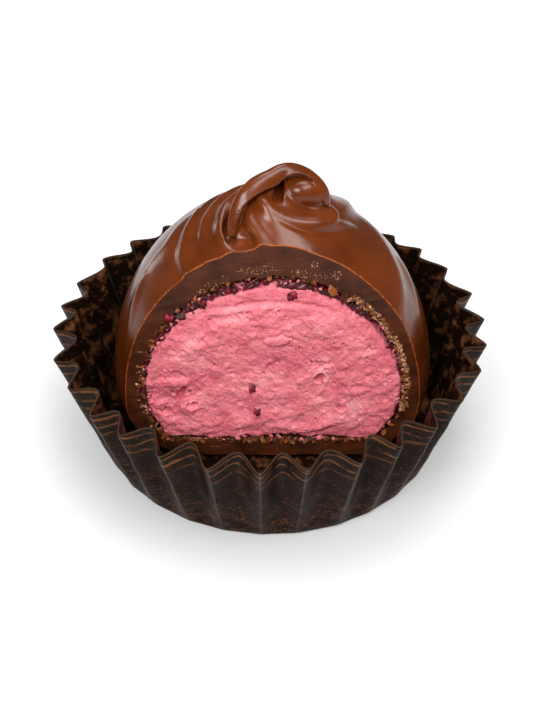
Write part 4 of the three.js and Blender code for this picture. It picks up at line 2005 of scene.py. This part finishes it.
@dataclass(frozen=True)
class Studio:
    """Camera, lights and floor. The camera stands as the photograph's did."""

    elevation_deg: float = 38.6
    distance: float = 126.0
    look_at: Place = (-0.326, 0.0, 8.175)
    focal_px: float = 1229.7
    floor_width: float = 900.0
    sensor_mm: float = 36.0
    clip_start_mm: float = 5.0
    aim_at: Place = (0.0, 0.0, 12.0)
    world_strength: float = 0.08
    softboxes: tuple[Softbox, ...] = (
        Softbox("key", (-60, -110, 125), (70, 50), 0.19),
        Softbox("left_strip", (-118, 88, 24), (18, 40), 0.012),
        Softbox("top", (10, 28, 160), (80, 90), 0.15),
        Softbox("window", (52, -58, 150), (100, 56), 0.16),
        Softbox("front_fill", (20, -140, 120), (140, 70), 0.1, mirrored=False),
    )

    def build(self) -> None:
        """Adds the camera, the lights, the world and the floor."""
        scene = bpy.context.scene
        lens = bpy.data.cameras.new("photo_camera")
        lens.sensor_fit = "VERTICAL"
        lens.sensor_height = self.sensor_mm
        lens.lens = self.focal_px * self.sensor_mm / PHOTO_HEIGHT_PX
        lens.clip_start = self.clip_start_mm * MM
        camera = bpy.data.objects.new("photo_camera", lens)
        scene.collection.objects.link(camera)
        tilt = math.radians(self.elevation_deg)
        target = Vector(self.look_at)
        back = Vector((0, -math.cos(tilt), math.sin(tilt)))
        camera.location = (target + back * self.distance) * MM
        camera.rotation_euler = (math.pi / 2 - tilt, 0, 0)
        scene.camera = camera
        for softbox in self.softboxes:
            self.add_light(softbox)
        world = bpy.data.worlds.new("studio_world")
        world.use_nodes = True
        background = world.node_tree.nodes["Background"]
        background.inputs[0].default_value = linear("FFFFFF")
        background.inputs[1].default_value = self.world_strength
        scene.world = world
        scene.view_settings.view_transform = "Standard"
        self.add_floor()

    def add_light(self, softbox: Softbox) -> None:
        """Adds one softbox that faces the sweet.

        Args:
            softbox: the light.
        """
        data = bpy.data.lights.new(softbox.name, "AREA")
        data.shape = "RECTANGLE"
        data.size, data.size_y = (side * MM for side in softbox.size_mm)
        data.energy = softbox.power
        light = bpy.data.objects.new(softbox.name, data)
        light.location = Vector(softbox.place_mm) * MM
        aim = Vector(self.aim_at) * MM - light.location
        light.rotation_euler = aim.to_track_quat("-Z", "Y").to_euler()
        light.visible_glossy = softbox.mirrored
        bpy.context.scene.collection.objects.link(light)

    def add_floor(self) -> None:
        """Adds the floor, which isn't part of the sweet."""
        half = self.floor_width / 2 * MM
        mesh = bpy.data.meshes.new("studio_floor")
        corners = [(-half, -half, 0), (half, -half, 0), (half, half, 0), (-half, half, 0)]
        mesh.from_pydata(corners, [], [(0, 1, 2, 3)])
        mesh.materials.append(StudioPaper().material())
        floor = bpy.data.objects.new("studio_floor", mesh)
        bpy.context.scene.collection.objects.link(floor)


# ------------------------------------------------------------------------------ main

CHALKY_SPOTS = (
    (-2.6, 21.8), (-1.9, 21.9), (-1.0, 21.9), (-0.3, 22.1), (2.6, 21.6), (3.4, 21.3), (4.3, 21.2),
    (5.0, 21.5), (6.2, 21.2), (-6.3, 19.8), (-5.6, 20.1), (-5.0, 20.4), (-4.1, 20.8), (4.0, 22.5),
)
CHIPS = Crumbs(
    "chocolate_chips", "chocolate", seed=3,
    strewings=(
        Strewing((-30, 62), (-0.2, 0.12), (-0.15, 0.1), (0.1, 0.5), 60, 0.3),
        Strewing((62, 120), (-0.05, 0.2), (-0.1, 0.05), (0.08, 0.3), 40, 0.3),
        Strewing((120, 210), (-0.2, 0.12), (-0.15, 0.1), (0.1, 0.55), 80, 0.3),
        Strewing((205, 335), (-0.1, 0.3), (-0.15, 0.1), (0.08, 0.42), 160, 0.35),
        Strewing((58, 72), (-0.1, 0.15), (0.05, 0.15), (0.5, 0.95), 5, 0.22),
        Strewing((225, 315), (0.2, 1.7), (-0.02, 0.06), (0.05, 0.2), 40, 0.3),
    ),
)
CHALK = Crumbs(
    "chalky_crumbs", "chocolate", seed=5,
    strewings=(
        Strewing((-8, 56), (-0.15, 0.5), (0.0, 0.1), (0.05, 0.28), 420, 0.5),
        Strewing((165, 200), (-0.1, 0.5), (0.0, 0.06), (0.04, 0.2), 80, 0.5),
    ),
    clusters=tuple(Cluster(spot, 0.28, (0.02, 0.085), 26, 0.01, 0.5) for spot in CHALKY_SPOTS),
)
CONSERVE = Crumbs(
    "conserve_lumps", "berry", seed=9, jagged=0.22, smooth=True,
    strewings=(
        Strewing((48, 130), (-0.9, -0.35), (-0.25, -0.05), (0.1, 0.42), 62, 0.7),
        Strewing((130, 200), (-0.45, -0.2), (-0.2, -0.05), (0.1, 0.32), 22, 0.7),
        Strewing((0, 48), (-0.45, -0.2), (-0.2, -0.05), (0.1, 0.32), 26, 0.7),
    ),
)
FRUIT = Crumbs(
    "fruit_bits", "berry", seed=14, jagged=0.2, smooth=True,
    strewings=(Strewing((60, 120), (-1.1, -0.6), (-0.2, 0.0), (0.1, 0.3), 12, 0.7),),
    clusters=(
        Cluster((-1.75, 8.75), 0.15, (0.14, 0.3), 7, 0.0),
        Cluster((-1.3, 6.0), 0.15, (0.16, 0.34), 8, 0.0),
        Cluster((2.1, 19.0), 0.25, (0.2, 0.4), 5, -0.05),
        Cluster((-9.5, 17.0), 0.25, (0.2, 0.4), 4, -0.05),
    ),
)
SCRAPS = Crumbs(
    "cream_scraps", "cream", seed=12, jagged=0.2, smooth=True,
    strewings=(
        Strewing((-20, 200), (-0.7, -0.1), (-0.1, 0.15), (0.07, 0.26), 60, 0.6),
        Strewing((205, 335), (-0.45, 0.0), (-0.1, 0.15), (0.08, 0.3), 34, 0.6),
    ),
)


def main() -> None:
    """Builds every piece in order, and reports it."""
    logging.basicConfig(level=logging.INFO, format="%(name)s %(message)s")
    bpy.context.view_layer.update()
    Studio().build()
    cut, hollow = Slice(), Hollow()
    gloss, sliced = EnrobedMilkChocolate().material(), SlicedMilkChocolate().material()
    conserve, cream = CookedBerry().material(), WhippedBerryCream().material()
    chip = CrumbledChocolate("chipped_milk_chocolate", "87481F", "3E1E0C", 0.4).material()
    chalk = CrumbledChocolate("chalky_milk_chocolate", "B98660", "66381E", 0.6).material()
    fruit = CookedBerry("glistening_berry_flesh", "8A1430", "4E0A18", 0.2).material()
    pieces = [
        PaperCase().build(PrintedGlassine().material()),
        ChocolateShell(SwirledDome(), hollow, cut).build(gloss, sliced),
        BerrySeam(hollow, cut).build(conserve),
        CreamFilling(hollow, cut).build(cream),
        CHIPS.build(hollow, cut, chip),
        CHALK.build(hollow, cut, chalk),
        CONSERVE.build(hollow, cut, conserve),
        FRUIT.build(hollow, cut, fruit),
        SCRAPS.build(hollow, cut, cream),
    ]
    for piece in pieces:
        LOG.info("%s: %d faces", piece.name, len(piece.data.polygons))


if __name__ == "__main__":
    main()
